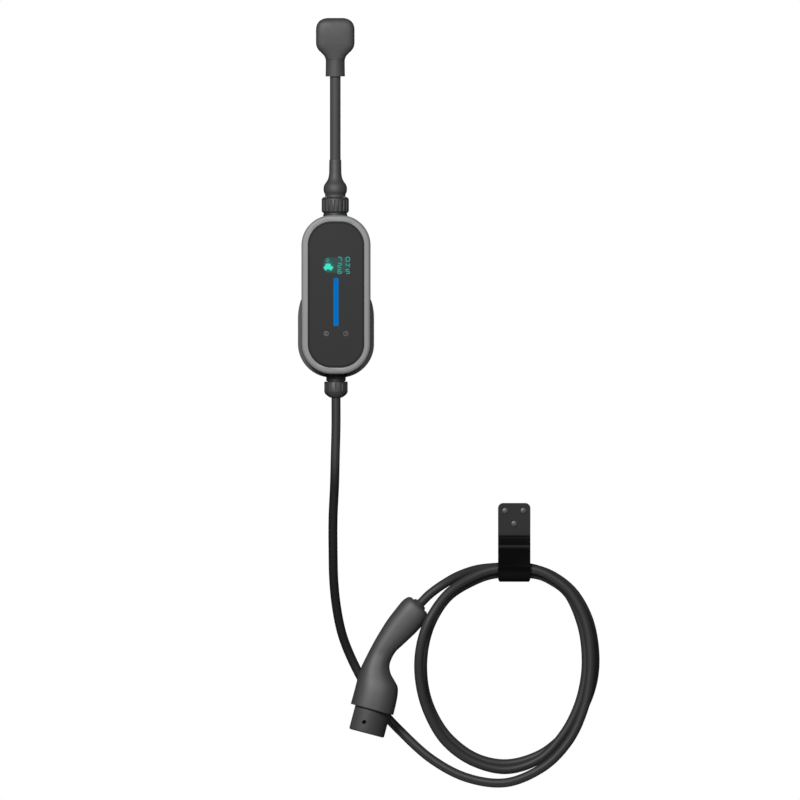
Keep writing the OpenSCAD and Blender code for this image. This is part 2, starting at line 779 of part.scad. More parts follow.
// Knurled ring that clamps the lead's sleeve down on the socket
module coupling_nut() {
    color(soft_black) on_axis(lead_x, 0) difference() {
        rotate_extrude() polygon([
            [socket_r + fit, nut_z], [nut_r - 1.8, nut_z], [nut_r, nut_z + 2.4],
            [nut_r, sleeve_z - 3.4], [nut_r - 0.9, sleeve_z - 1.6], [nut_r - 2.8, sleeve_z],
            [lip_r, sleeve_z], [lip_r, lip_z], [socket_r + fit, lip_z]
        ]);
        translate([0, 0, nut_z + 2.6]) flutes(20, nut_r, 0.9, nut_h - 6.4);
    }
}

// Moulded sleeve: plug core, captive flange, waist, bulb and tapered bend relief
module lead_sleeve() {
    core_z = inlet_z + socket_base + 0.4;
    color(soft_black) on_axis(lead_x, 0) difference() {
        rotate_extrude() polygon([
            [0, core_z], [cavity_r - fit, core_z], [cavity_r - fit, lip_z - flange_h],
            [socket_r - 0.6, lip_z - flange_h], [socket_r - 0.6, lip_z - fit],
            [lip_r - fit, lip_z - fit], [lip_r - fit, sleeve_z + fit], [bulb_r - 2, sleeve_z + fit],
            [bulb_r - 2.1, sleeve_z + 3.4], [bulb_r - 1.4, sleeve_z + 4.8],
            [bulb_r - 0.4, sleeve_z + 7], [bulb_r, sleeve_z + 9.6], [bulb_r, sleeve_z + 12.4],
            [bulb_r - 0.5, sleeve_z + 15], [bulb_r - 1.7, sleeve_z + 17.6],
            [bulb_r - 3.9, sleeve_z + 20.6], [bulb_r - 5.6, sleeve_z + 23.4],
            [bulb_r - 6.7, sleeve_z + 26.4], [mains_d / 2 + 1.5, sleeve_z + 29.5],
            [mains_d / 2 + 1.1, sleeve_z + 33], [mains_d / 2 + 0.9, sleeve_top - 1],
            [mains_d / 2 + 0.3, sleeve_top], [0, sleeve_top]
        ]);
        for (k = [0:2]) rotate(120 * k + 90) translate([contact_ring, 0, core_z - 1])
            cylinder(r = inlet_pin_r + fit, h = 16);
    }
}

gland_tail = outlet_z + pad_h + wall + 2 + locknut_h + 1;
cable_r = charge_d / 2;
seal_r = 9.6;

// Gland body: flange under the housing's pad, threaded tail inside and spigot for the cap nut
module outlet_gland_body() {
    color(soft_black) on_axis(0, 0) difference() {
        union() {
            translate([0, 0, cap_z + 0.6]) cylinder(r = gland_r, h = outlet_z - cap_z - 0.6);
            translate([0, 0, cap_z - 8]) cylinder(r = gland_r - 1.6, h = 9);
            translate([0, 0, outlet_z - 1]) cylinder(r = outlet_hole_r - fit, h = gland_tail - outlet_z + 1);
        }
        translate([0, 0, cap_z - 9]) cylinder(r = cable_r + 0.5, h = gland_tail - cap_z + 10);
        translate([0, 0, cap_z - 9]) cylinder(r = seal_r, h = 13);
    }
}

module outlet_seal() {
    color("#3a3b3e") on_axis(0, cap_z - 9.6) difference() {
        union() {
            cylinder(r = seal_r - 0.1, h = 13.6);
            cylinder(r = seal_r + 1.4, h = 1.4);
        }
        translate([0, 0, -1]) cylinder(r = cable_r + 0.05, h = 16);
    }
}

module outlet_locknut() {
    color(soft_black) on_axis(0, outlet_z + pad_h + wall + 2) difference() {
        cylinder(r = 13.6, h = locknut_h, $fn = 6);
        translate([0, 0, -1]) cylinder(r = outlet_hole_r - 0.1, h = locknut_h + 2);
    }
}

// Domed cap nut with grip flutes
module outlet_cap_nut() {
    hollow_r = gland_r - 1.6 + fit;
    color(soft_black) on_axis(0, 0) difference() {
        rotate_extrude() polygon([
            [hollow_r, cap_z], [cap_r - 0.8, cap_z], [cap_r, cap_z - 1.2], [cap_r, cap_z - 13],
            [cap_r - 0.3, cap_z - 14.6], [cap_r - 1.1, cap_z - 16.4], [cap_r - 2.6, cap_z - 18.2],
            [cap_r - 5, cap_z - 20], [cable_r + 2.8, cap_low + 0.6], [cable_r + 1.4, cap_low],
            [cable_r + 0.4, cap_low], [cable_r + 0.4, cap_z - 15], [seal_r + 1.6, cap_z - 9.8],
            [hollow_r, cap_z - 9.8]
        ]);
        translate([0, 0, cap_z - 12.6]) flutes(12, cap_r, 0.8, 10.4);
    }
}

// Cores from the charging cable and from the inlet's pins to their terminals
module cable_cores() {
    hole_y = block_y + 6;
    low = cable_route[0].z + fit;
    pin_z = box_high - wall - 8 - fit;
    out_z = box_mid - hole_y;
    in_z = box_mid + hole_y;
    color("#5b4636") {
        for (k = [0:block_poles - 1]) {
            x = (k + 0.5 - block_poles / 2) * block_pitch;
            side = (k < block_poles / 2 ? -1 : 1) * 1.9;
            y = -cable_axis - (k % 2 == 0 ? -1 : 1) * 1.9;
            cord([
                [side, y, low], [side, y, (low + gland_tail) / 2], [side, y, gland_tail + 1],
                [mix(side, x, 0.5), (y - wire_z) / 2, mix(gland_tail, out_z, 0.5)],
                [x, -wire_z, out_z - 2], [x, -wire_z, out_z + 3.4]
            ], core_r, 6);
        }
        for (k = [0:2]) {
            x = (k + 0.5 - block_poles / 2) * block_pitch;
            from = [
                lead_x + contact_ring * (k - 1) * cos(30),
                contact_ring * (k == 1 ? 1 : -0.5) - cable_axis
            ];
            cord([
                [from.x, from.y, pin_z], [from.x, from.y, pin_z - 8],
                [mix(from.x, x, 0.5), (from.y - wire_z) / 2, mix(pin_z, in_z, 0.5)],
                [x, -wire_z, in_z + 2], [x, -wire_z, in_z - 3.4]
            ], core_r, 6);
        }
    }
}

module mains_cable() {
    color(soft_black) cord([
        for (k = [0:mains_rings - 1]) [lead_x, -cable_axis, sleeve_top + mains_free * k / (mains_rings - 1)]
    ], mains_d / 2, cord_sides);
}

// Superellipse ring of the plug, flat side towards the wall: squarer in the head than in the neck
function plug_ring(z, w, near, far, square_of) =
    [for (k = [0:31])
        let (a = 360 * k / 32, c = cos(a), s = sin(a), power = 2 / square_of)
        [
            lead_x + w / 2 * sign(c) * pow(abs(c), power),
            -(near + far) / 2 + (far - near) / 2 * sign(s) * pow(abs(s), power),
            z
        ]];

// Angled plug: domed head that draws in to a neck, with a flat back and a seat for the face
module plug_body() {
    neck_front = cable_axis + 11;
    neck_back = cable_axis - 11;
    low_rows = [
        [0.77, 0.87, 0.3, 0.08], [0.84, 0.72, 0.55, 0.3], [0.91, 0.58, 0.8, 0.6], [0.97, 0.52, 0.95, 0.9]
    ];
    rings = concat(
        [plug_ring(plug_low, neck_w, neck_back, neck_front, neck_power)],
        [plug_ring(plug_low + neck_h - 3, neck_w - 0.6, neck_back, neck_front, neck_power)],
        [for (k = [3:-1:0])
            let (row = low_rows[k])
            plug_ring(plug_top - row[0] * plug_h, max(plug_w * row[1], neck_w),
                mix(plug_back, neck_back, row[3]), mix(plug_front, neck_front, row[2]),
                mix(head_power, neck_power, row[2]))],
        [for (k = [len(plug_rows) - 1:-1:0])
            let (row = plug_rows[k])
            plug_ring(plug_top - row[0] * plug_h, plug_w * row[1], plug_back + row[3] - 1,
                plug_front - row[2], head_power)]
    );
    color(soft_black) difference() {
        skin(rings);
        translate([lead_x - plug_w, -plug_back, face_z - plug_w]) cube([2 * plug_w, 9, 2 * plug_w]);
        translate([lead_x, -plug_back - face_pocket, face_z]) rotate([-90, 0, 0])
            cylinder(r = face_r + fit, h = face_pocket + 5);
    }
}

// Round face of the plug with its guide grooves, clip seats and the socket for an earth pin
module plug_face() {
    groove = 5.4;
    color("#35373a") translate([lead_x, -plug_back - face_pocket, face_z]) rotate([-90, 0, 0])
        difference() {
            cylinder(r = face_r, h = face_l + face_pocket);
            for (x = [-1, 1]) translate([x * pin_gap / 2, 0, face_l + face_pocket - pin_root])
                cylinder(r = pin_d / 2 - 0.4, h = pin_root + 1);
            for (x = [-1, 1]) translate([x * face_r, 0, face_pocket + 1])
                cylinder(r = groove / 2, h = face_l + 5);
            for (y = [-1, 1]) translate([-3.2, y * (face_r - 0.6) - 1.4, face_pocket + 0.5])
                cube([6.4, 2.8, face_l + 5]);
            translate([0, -10, face_pocket + 2]) cylinder(r = 2.5, h = face_l + 5);
        }
}

module plug_pins() {
    color(steel) translate([lead_x, face_l - plug_back, face_z]) rotate([-90, 0, 0])
        for (x = [-1, 1]) translate([x * pin_gap / 2, 0, 0]) {
            translate([0, 0, -pin_root]) cylinder(r = pin_d / 2 - 0.4, h = pin_root + 0.5);
            cylinder(r = pin_d / 2, h = pin_l - 2);
            translate([0, 0, pin_l - 2]) cylinder(r1 = pin_d / 2, r2 = pin_d / 2 - 1.4, h = 2);
        }
}

module plug_earth_clips() {
    color(brass) translate([lead_x, -plug_back, face_z]) rotate([-90, 0, 0])
        for (y = [-1, 1]) translate([-2.8, y * (face_r - 1.1) - 0.8, 0.6]) {
            cube([5.6, 1.2, face_l - 2.6]);
            translate([0, y > 0 ? 0.4 : 0, 3]) cube([5.6, 1.2, face_l - 9]);
        }
}

module charging_cable() {
    color(soft_black) cord(cable_route, cable_r, cord_sides);
}

// Places the connector: local +Z runs from its tip along the nose, local X away from the flat side
module at_connector() {
    translate([tip_x, -conn_y, tip_z]) rotate([0, nose_lean, 0]) children();
}

// Section of the shell at a row: middle, sideways direction, width and depth
function shell_at(u) =
    let (row = curve_at(shell_rows, u))
    [[row[1], 0, nose_len + row[0] * shell_len], [cos(row[2]), 0, -sin(row[2])], row[3], row[4]];

// Half a superellipse on one side of the parting plane, drawn in by a wall
function half_ring(u, inset, way) =
    let (at = shell_at(u), w = at[2] / 2 - inset, d = at[3] / 2 - inset, power = 2 / shell_power)
    [for (k = [0:shell_steps])
        let (a = 180 * k / shell_steps, c = cos(a), s = sin(a))
        at[0] - way * w * sign(c) * pow(abs(c), power) * at[1] + [0, -d * pow(abs(s), power), 0]];

function half_hole(u, way) =
    let (at = shell_at(u))
    [for (k = [0:shell_steps])
        let (a = 180 * k / shell_steps)
        at[0] - way * cable_hole_r * cos(a) * at[1] + [0, -cable_hole_r * sin(a), 0]];

function inner_half(u) =
    u <= shell_last - 1 ? half_ring(u, shell_wall, -1) : half_hole(max(u, shell_last - 0.85), -1);

// Distance of the shell's surface from the parting plane, at a sideways share of its half width
function shell_rise(u, share) =
    shell_at(u)[3] / 2 * pow(1 - pow(abs(share), shell_power), 1 / shell_power);

module handle_screw_spots() {
    for (spot = handle_screw_places) {
        at = shell_at(spot[0]);
        inset = shell_wall + handle_boss_r - 1;
        translate(at[0] + spot[1] * (at[2] / 2 - inset) * at[1]) {
            $rise = shell_rise(spot[0], (at[2] / 2 - inset) / (at[2] / 2));
            rotate([90, 0, 0]) children();
        }
    }
}

// Front half of the moulded shell, towards -Y: the wall is carried along the grip's curve and
// closes round the cable at the end
module half_shell() {
    skin([for (j = [0:shell_last * rings_between])
        let (u = j / rings_between)
        concat(half_ring(u, 0, 1), inner_half(u))]);
    handle_screw_spots() cylinder(r = handle_boss_r, h = $rise - 1.2, $fn = 24);
}

module handle_shell_front() {
    color(black_plastic) at_connector() difference() {
        half_shell();
        handle_screw_spots() translate([0, 0, -1])
            cylinder(r = handle_screw_r, h = $rise - 3, $fn = 16);
    }
}

module handle_shell_rear() {
    color(black_plastic) at_connector() mirror([0, 1, 0]) difference() {
        half_shell();
        handle_screw_spots() {
            translate([0, 0, -1]) cylinder(r = handle_screw_r + fit, h = 60, $fn = 16);
            translate([0, 0, $rise - 4.6]) cylinder(r = 3.1, h = 20, $fn = 24);
        }
    }
}

module handle_screws() {
    color(steel) at_connector() mirror([0, 1, 0]) handle_screw_spots()
        translate([0, 0, $rise - 4.6])
            pan_screw(2.8, 1.9, handle_screw_r, $rise - 4.6, handle_screw_r - 0.2, 8);
}

// Outline of the nose: a circle with one flat side
module nose_outline(inset) {
    translate([nose_shift, 0]) intersection() {
        circle(nose_r - inset, $fn = 96);
        translate([inset - nose_flat, -nose_r]) square([2 * nose_r + nose_flat, 2 * nose_r]);
    }
}

// Full section of the shell's inside, as a flat outline
module shell_inside(u, inset) {
    front = half_ring(u, inset, 1);
    polygon([
        for (p = front) [p.x, p.y],
        for (k = [shell_steps - 1:-1:1]) [front[k].x, -front[k].y]
    ]);
}

flange_z = nose_len + 3;
flange_t = 3;
nose_back = 18;
lock_z = 14;
lock_x = -6.8;
lock_r = 3;
tip_bevel = 1.3;

// Collar round the contacts: its tip is bevelled, a shoulder sits inside the shell's mouth, and the
// lock's hole is in the side towards the viewer
module connector_nose() {
    color("#26272a") at_connector() difference() {
        union() {
            intersection() {
                linear_extrude(nose_len + nose_back) nose_outline(0);
                translate([nose_shift, 0, 0]) cylinder(r1 = nose_r - tip_bevel, r2 = nose_r - tip_bevel + 60, h = 60);
            }
            translate([0, 0, flange_z]) linear_extrude(flange_t) shell_inside(0.5, shell_wall + fit);
        }
        translate([0, 0, -1]) linear_extrude(nose_len + nose_back + 2) nose_outline(nose_wall);
        translate([nose_shift - nose_flat + tip_bevel, -nose_r, 0]) rotate([0, 45, 0])
            translate([-10, 0, -10]) cube([10, 2 * nose_r, 20]);
        translate([lock_x, 0, lock_z]) rotate([90, 0, 0]) cylinder(r = lock_r, h = 2 * nose_r);
    }
}

module nose_seal() {
    color(soft_black) at_connector() translate([0, 0, flange_z + flange_t]) difference() {
        linear_extrude(2) shell_inside(0.5, shell_wall + fit);
        translate([0, 0, -1]) linear_extrude(4) nose_outline(-0.1);
    }
}

module at_places(places) {
    for (place = places) translate([nose_shift + place.x, place.y, 0]) children();
}

contact_r = power_bore / 2 + contact_wall;
signal_r = signal_bore / 2 + signal_wall;

// Disc that carries the contacts and their towers inside the nose
module contact_carrier() {
    color("#303134") at_connector() difference() {
        translate([0, 0, carrier_z]) linear_extrude(carrier_t) nose_outline(nose_wall + fit);
        at_places(concat([earth_place], line_places, spare_places)) translate([0, 0, carrier_z - 1])
            cylinder(r = contact_r, h = 60);
        at_places(signal_places) translate([0, 0, carrier_z - 1]) cylinder(r = signal_r, h = 60);
    }
}

// Sleeves on the disc, one round each contact; the two spare ones stay empty
module towers(places, outer, inner, bore) {
    color("#303134") at_connector() at_places(places) translate([0, 0, tower_z]) difference() {
        cylinder(r = outer, h = carrier_z - tower_z);
        translate([0, 0, 2]) cylinder(r = inner, h = 60);
        translate([0, 0, -1]) cylinder(r = bore / 2 + 0.3, h = 60);
    }
}

module earth_tower() {
    towers([earth_place], power_tower_r, contact_r, power_bore);
}

module line_towers() {
    towers(line_places, power_tower_r, contact_r, power_bore);
}

module spare_towers() {
    towers(spare_places, power_tower_r, contact_r, power_bore);
}

module signal_towers() {
    towers(signal_places, signal_tower_r, signal_r, signal_bore);
}

// Socket contact: a tube with a blind bore and a crimp barrel behind
module socket_contact(outer, bore) {
    length = carrier_z + carrier_t - tower_z + 8;
    difference() {
        translate([0, 0, tower_z + 2]) cylinder(r = outer, h = length);
        translate([0, 0, tower_z]) cylinder(r = bore, h = 24);
        translate([0, 0, tower_z + length - 4]) cylinder(r = bore * 0.8, h = 12);
    }
}

module power_contacts() {
    color(brass) at_connector() at_places(concat([earth_place], line_places))
        socket_contact(power_bore / 2 + contact_wall, power_bore / 2);
}

module signal_contacts() {
    color(brass) at_connector() at_places(signal_places)
        socket_contact(signal_bore / 2 + signal_wall, signal_bore / 2);
}

// Places a piece on the grip's axis, so far inside the grip's end
module at_butt(depth) {
    end = shell_at(shell_last);
    tilt = shell_rows[shell_last][2];
    at_connector() translate(end[0]) rotate([0, tilt, 0]) translate([0, 0, -depth]) children();
}

// Split clamp that grips the cable's sheath inside the grip
module cable_clamp() {
    ear = butt_w / 2 - shell_wall - 3;
    color("#45474a") at_butt(19) difference() {
        union() {
            cylinder(r = cable_r + 3.4, h = 9);
            translate([-ear, -4, 0]) cube([2 * ear, 8, 9]);
        }
        translate([0, 0, -1]) cylinder(r = cable_r + 0.05, h = 11);
        translate([-ear - 1, -0.4, -1]) cube([2 * ear + 2, 0.8, 11]);
    }
}

// Rubber ring in the grip's end that the cable runs through
module cable_grommet() {
    color("#1d1e20") at_butt(3.2) difference() {
        rotate_extrude() polygon([
            [cable_r + 0.15, 0], [cable_hole_r - 0.3, 0], [cable_hole_r - 0.3, 3.4],
            [cable_hole_r + 0.8, 3.4], [cable_hole_r + 0.4, 4.6], [cable_r + 1.4, 6.4],
            [cable_r + 0.15, 6.4]
        ]);
    }
}

hook_screw_head = 3.8;
bend_y = hook_t + hook_r;
bend_z = hook_low + hook_t + hook_r;
leg_step = 2;
lip_bead = 3.2;
lip_draft = 0.15;
hook_corner = 7;
leg_top = hook_top - 45;

// Section of the hook, drawn with x as the distance from the wall and y as the height
module hook_section() {
    square_top = hook_top - bend_z;
    translate([0, bend_z]) square([hook_t, square_top]);
    translate([0, bend_z]) square([hook_t + leg_step, leg_top - leg_step - bend_z]);
    translate([hook_t, leg_top - leg_step]) circle(leg_step);
    translate([bend_y, bend_z]) difference() {
        circle(hook_r + hook_t, $fn = 96);
        circle(hook_r, $fn = 96);
        polygon([[0, 0], [60 * cos(lip_lean), -60 * sin(lip_lean)], [60, 60], [-60, 60], [-60, 0]]);
    }
    translate([bend_y, bend_z]) rotate(-lip_lean) {
        translate([hook_r + lip_draft, -1]) square([hook_t - 2 * lip_draft, lip_h + 1]);
        translate([hook_r + hook_t / 2, lip_h]) circle(lip_bead);
    }
}

// Outline of the hook from the front, with round corners. It reaches a little below the bend
module hook_outline() {
    spare = 2;
    translate([0, -spare / 2]) rounded_outline(hook_w, hook_top - hook_low + spare, hook_corner);
}

// Bent strap: screw plate, back leg, round bend for three runs of cable and a leaning, beaded lip
module cable_hook() {
    color("#1b1c1e") difference() {
        intersection() {
            translate([hook_x - hook_w / 2, 0, 0]) rotate([90, 0, 90]) mirror([1, 0, 0])
                linear_extrude(hook_w) hook_section();
            translate([hook_x, 10, (hook_top + hook_low) / 2]) rotate([90, 0, 0])
                linear_extrude(100) hook_outline();
        }
        hook_screw_spots() rotate([90, 0, 0]) translate([0, 0, -1])
            cylinder(r = wall_neck_r + fit, h = hook_t + 2);
    }
}

module hook_screw_spots() {
    high = hook_top - hook_screw_top;
    for (x = [-1, 1]) translate([hook_x + x * hook_screw_x / 2, 0, high]) children();
    translate([hook_x, 0, high - hook_screw_drop]) children();
}

module hook_screws() {
    color(steel) hook_screw_spots() translate([0, -hook_t, 0]) rotate([90, 0, 0])
        pan_screw(hook_screw_head, 2.2, wall_neck_r, hook_t, stud_r, stud_l);
}

wall_cradle();
cradle_screws();
rear_housing();
housing_gasket();
front_bezel();
front_panel();
light_guide();
display_module();
touch_pads();
front_board();
main_board();
relays();
current_sensor();
supply_transformer();
filter_capacitors();
terminal_blocks();
board_screws();
housing_screws();
inlet_socket();
inlet_seal();
inlet_locknut();
inlet_pins();
coupling_nut();
lead_sleeve();
outlet_gland_body();
outlet_seal();
outlet_locknut();
outlet_cap_nut();
cable_cores();
mains_cable();
plug_body();
plug_face();
plug_pins();
plug_earth_clips();
charging_cable();
handle_shell_front();
handle_shell_rear();
handle_screws();
connector_nose();
nose_seal();
contact_carrier();
earth_tower();
line_towers();
spare_towers();
signal_towers();
power_contacts();
signal_contacts();
cable_clamp();
cable_grommet();
cable_hook();
hook_screws();
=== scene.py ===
"""Visual model of a portable electric car charger that hangs on a wall.

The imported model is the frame. This script lays smooth cables over the planned route, rebuilds the
moulded plug and the connector's shell and nose as smooth surfaces, softens the edges of the other
solids, lights the display and the light bar, and gives every piece its finish.
"""
import logging
import math
from collections.abc import Callable, Iterator
from contextlib import contextmanager
from dataclasses import dataclass
from enum import Enum
from functools import cache
from typing import Protocol

import bmesh
import bpy
import numpy as np
from mathutils import Euler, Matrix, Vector
from numpy.typing import NDArray


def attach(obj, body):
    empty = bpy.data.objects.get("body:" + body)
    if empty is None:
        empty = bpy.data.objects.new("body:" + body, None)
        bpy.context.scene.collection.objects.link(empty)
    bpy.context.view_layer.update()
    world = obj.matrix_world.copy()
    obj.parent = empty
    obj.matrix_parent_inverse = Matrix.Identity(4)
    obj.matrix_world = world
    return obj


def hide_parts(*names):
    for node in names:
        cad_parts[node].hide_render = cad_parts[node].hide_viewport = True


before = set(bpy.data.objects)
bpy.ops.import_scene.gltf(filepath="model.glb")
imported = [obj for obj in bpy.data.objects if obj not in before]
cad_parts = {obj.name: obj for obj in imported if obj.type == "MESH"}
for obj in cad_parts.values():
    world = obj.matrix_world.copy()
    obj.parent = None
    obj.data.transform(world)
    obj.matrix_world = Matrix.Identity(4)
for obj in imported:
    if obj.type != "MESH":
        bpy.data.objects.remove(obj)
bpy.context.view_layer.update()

log = logging.getLogger("charger")
Array = NDArray[np.float64]
Colour = tuple[float, float, float]
Point = tuple[float, float, float]
MM = 0.001
BODY = "root"
# Points closer than this, in metres, are joined.
SAME_POINT = 2e-6
# Angles in degrees: below the first, neighbouring faces become one. Above the second, an edge is
# softened. From the others on, an edge stays sharp, on a plain piece and on one with cuts.
FLAT_ANGLE = 0.5
EDGE_ANGLE = 38.0
SHARP_ANGLE = 35.0
CUT_SHARP_ANGLE = 40.0
# Points round each mark on the front panel.
MARK_POINTS = 32


# Surfaces


def curve_at(points: Array, s: Array) -> Array:
    """Points of a smooth curve through given points.

    A cubic of the Catmull-Rom kind: between two points, its slope at each end is half the way
    between that end's neighbours, and the neighbour is the end itself at the curve's ends.

    Args:
        points: One row per chosen point, with any number of columns.
        s: Places along the curve, counted in chosen points from 0.

    Returns:
        One row per place.
    """
    last = len(points) - 1
    i = np.clip(np.floor(s).astype(int), 0, last - 1)
    t = (s - i)[:, None]
    a, b = points[np.maximum(i - 1, 0)], points[i]
    c, d = points[i + 1], points[np.minimum(i + 2, last)]
    return 0.5 * (
        2 * b
        + (c - a) * t
        + (2 * a - 5 * b + 4 * c - d) * t**2
        + (3 * b - a - 3 * c + d) * t**3
    )


def signed_power(x: Array, power: float | Array) -> Array:
    """The power of x's size, with x's sign: the superellipse's way of rounding a circle."""
    return np.sign(x) * np.abs(x) ** power


def turns(count: int) -> Array:
    """Angles that stand evenly round a full turn, from 0."""
    return np.linspace(0, 2 * np.pi, count, endpoint=False)


def join_grid(
    name: str,
    points: Array,
    round_about: bool = True,
    end_caps: bool = True,
    uv: Array | None = None,
    more: list[list[int]] | None = None,
    sharp: float = SHARP_ANGLE,
) -> bpy.types.Object:
    """Makes one mesh object from a grid of points.

    Quad (i, j) joins point (i, j) with its neighbours one further along and one further round.

    Args:
        name: Name of the new piece.
        points: Grid of points in metres, first along the piece and then round it.
        round_about: Whether the last point round joins the first.
        end_caps: Whether a fan to the ring's middle closes each end.
        uv: Grid of texture places, one column wider than the points where it goes round.
        more: Further faces, as numbers of points.
        sharp: Angle in degrees from which an edge stays sharp.

    Returns:
        The object, at the origin.
    """
    rings, count = points.shape[:2]
    flat = points.reshape(-1, 3)
    i, j = np.meshgrid(
        np.arange(rings - 1), np.arange(count if round_about else count - 1), indexing="ij"
    )
    after = (j + 1) % count
    quads = np.stack(
        [i * count + j, i * count + after, (i + 1) * count + after, (i + 1) * count + j], axis=-1
    ).reshape(-1, 4)
    faces = quads.tolist() + (more or [])
    if end_caps:
        flat = np.vstack([flat, points[0].mean(axis=0), points[-1].mean(axis=0)])
        ring = np.arange(count)
        ahead = (ring + 1) % count
        first = np.full(count, rings * count)
        base = (rings - 1) * count
        faces += np.stack([first, ahead, ring], axis=-1).tolist()
        faces += np.stack([first + 1, base + ring, base + ahead], axis=-1).tolist()
    mesh = bpy.data.meshes.new(name)
    mesh.from_pydata(flat.tolist(), [], faces)
    if uv is not None:
        layer = mesh.uv_layers.new(name="UVMap")
        corners = np.zeros((len(mesh.loops), 2))
        texture = np.stack(
            [uv[i, j], uv[i, j + 1], uv[i + 1, j + 1], uv[i + 1, j]], axis=2
        ).reshape(-1, 2)
        corners[: len(texture)] = texture
        layer.data.foreach_set("uv", corners.ravel())
    return finish_mesh(name, mesh, sharp)


@contextmanager
def edited(mesh: bpy.types.Mesh) -> Iterator[bmesh.types.BMesh]:
    """Opens a mesh's points and faces for editing, and writes them back at the end.

    Args:
        mesh: The mesh.

    Yields:
        Its points and faces.
    """
    work = bmesh.new()
    work.from_mesh(mesh)
    yield work
    work.to_mesh(mesh)
    work.free()


def shade(mesh: bpy.types.Mesh, sharp: float) -> None:
    """Shades smoothly, apart from edges that turn by more than an angle in degrees."""
    mesh.shade_smooth()
    mesh.set_sharp_from_angle(angle=math.radians(sharp))


def finish_mesh(
    name: str, mesh: bpy.types.Mesh, sharp: float = SHARP_ANGLE
) -> bpy.types.Object:
    """Points the faces outwards, shades smoothly up to an angle and puts the mesh in the scene.

    Args:
        name: Name of the new piece.
        mesh: Its mesh.
        sharp: Angle in degrees from which an edge stays sharp.

    Returns:
        The new piece.
    """
    with edited(mesh) as work:
        bmesh.ops.recalc_face_normals(work, faces=work.faces)
    shade(mesh, sharp)
    piece = bpy.data.objects.new(name, mesh)
    bpy.context.scene.collection.objects.link(piece)
    return piece


def merged_copy(node: str, edge: float = 0.0) -> bpy.types.Object:
    """Copy of a CAD node whose loose triangles are joined, with softened edges.

    Args:
        node: The CAD node.
        edge: Width of the softened edges in metres, or 0 for none.

    Returns:
        The new piece, which stands for the node.
    """
    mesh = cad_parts[node].data.copy()
    with edited(mesh) as work:
        bmesh.ops.remove_doubles(work, verts=work.verts, dist=SAME_POINT)
        bmesh.ops.dissolve_limit(
            work,
            angle_limit=math.radians(FLAT_ANGLE),
            verts=work.verts,
            edges=work.edges,
            use_dissolve_boundaries=False,
        )
    mesh.materials.clear()
    piece = finish_mesh(f"{node}_soft", mesh)
    if edge:
        bevel = piece.modifiers.new("edges", "BEVEL")
        bevel.width = edge
        bevel.segments = 2
        bevel.limit_method = "ANGLE"
        bevel.angle_limit = math.radians(EDGE_ANGLE)
        bevel.harden_normals = True
    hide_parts(node)
    return piece


def plates(name: str, outlines: list[Array], back: float, front: float) -> bpy.types.Object:
    """Thin upright plates in one mesh, for the marks on the front panel.

    Each outline is a closed line of (x, z) in millimetres. It is carried from the back plane to
    the front plane, and a fan to its middle closes both.

    Args:
        name: Name of the new piece.
        outlines: One array of points per plate, all of the same length.
        back: Distance of the back plane from the wall, in millimetres.
        front: Distance of the front plane from the wall, in millimetres.

    Returns:
        The object.
    """
    stack = np.stack(outlines)
    shapes, count = stack.shape[:2]
    levels = np.array([back, front])
    rings = np.empty((shapes, 2, count, 3))
    rings[..., 0] = stack[:, None, :, 0]
    rings[..., 1] = -levels[None, :, None]
    rings[..., 2] = stack[:, None, :, 1]
    middles = rings.mean(axis=2)
    points = np.concatenate([rings.reshape(shapes, -1, 3), middles], axis=1)
    k = np.arange(count)
    n = (k + 1) % count
    walls = np.stack([k, n, n + count, k + count], axis=-1)
    fans = np.concatenate(
        [
            np.stack([n, k, np.full(count, 2 * count)], axis=-1),
            np.stack([k + count, n + count, np.full(count, 2 * count + 1)], axis=-1),
        ]
    )
    step = (np.arange(shapes) * (2 * count + 2))[:, None, None]
    faces = (walls[None] + step).reshape(-1, 4).tolist()
    faces += (fans[None] + step).reshape(-1, 3).tolist()
    mesh = bpy.data.meshes.new(name)
    mesh.from_pydata((points.reshape(-1, 3) * MM).tolist(), [], faces)
    return finish_mesh(name, mesh)


def outline(cx: float, cz: float, w: float, h: float, r: float) -> Array:
    """Rounded rectangle as a superellipse, in millimetres.

    Its power is 2 over the sum of 2 and three times the straight share of the shorter side, so
    that it is squarer the smaller its corner.

    Args:
        cx: Its middle's x.
        cz: Its middle's z.
        w: Its width.
        h: Its height.
        r: Radius of its corners.

    Returns:
        One row of x and z per point.
    """
    a = turns(MARK_POINTS)
    power = 2 / (2 + 3 * (1 - 2 * r / min(w, h)))
    return np.stack(
        [cx + w / 2 * signed_power(np.cos(a), power), cz + h / 2 * signed_power(np.sin(a), power)],
        axis=1,
    )


def digit(
    value: int, cx: float, cz: float, w: float = 4.6, h: float = 5.6, thick: float = 0.3
) -> list[Array]:
    """Bars of a seven-part digit, three across and four upright, each by its usual letter.

    Args:
        value: The digit.
        cx: Its middle's x in millimetres.
        cz: Its middle's z in millimetres.
        w: Its width.
        h: Its height.
        thick: Width of a bar in shares of the digit's, and corner in shares of a bar's.

    Returns:
        One outline per bar.
    """
    lit = (
        "abcdef", "bc", "abged", "abgcd", "fgbc",
        "afgcd", "afgedc", "abc", "abcdefg", "abcdfg",
    )
    bar = w * thick
    places = {
        "a": (0, h / 2, w, bar), "g": (0, 0, w, bar), "d": (0, -h / 2, w, bar),
        "b": (w / 2, h / 4, bar, h / 2), "c": (w / 2, -h / 4, bar, h / 2),
        "f": (-w / 2, h / 4, bar, h / 2), "e": (-w / 2, -h / 4, bar, h / 2),
    }
    return [
        outline(cx + x, cz + z, bw, bh, min(bw, bh) * thick)
        for x, z, bw, bh in (places[key] for key in lit[value])
    ]


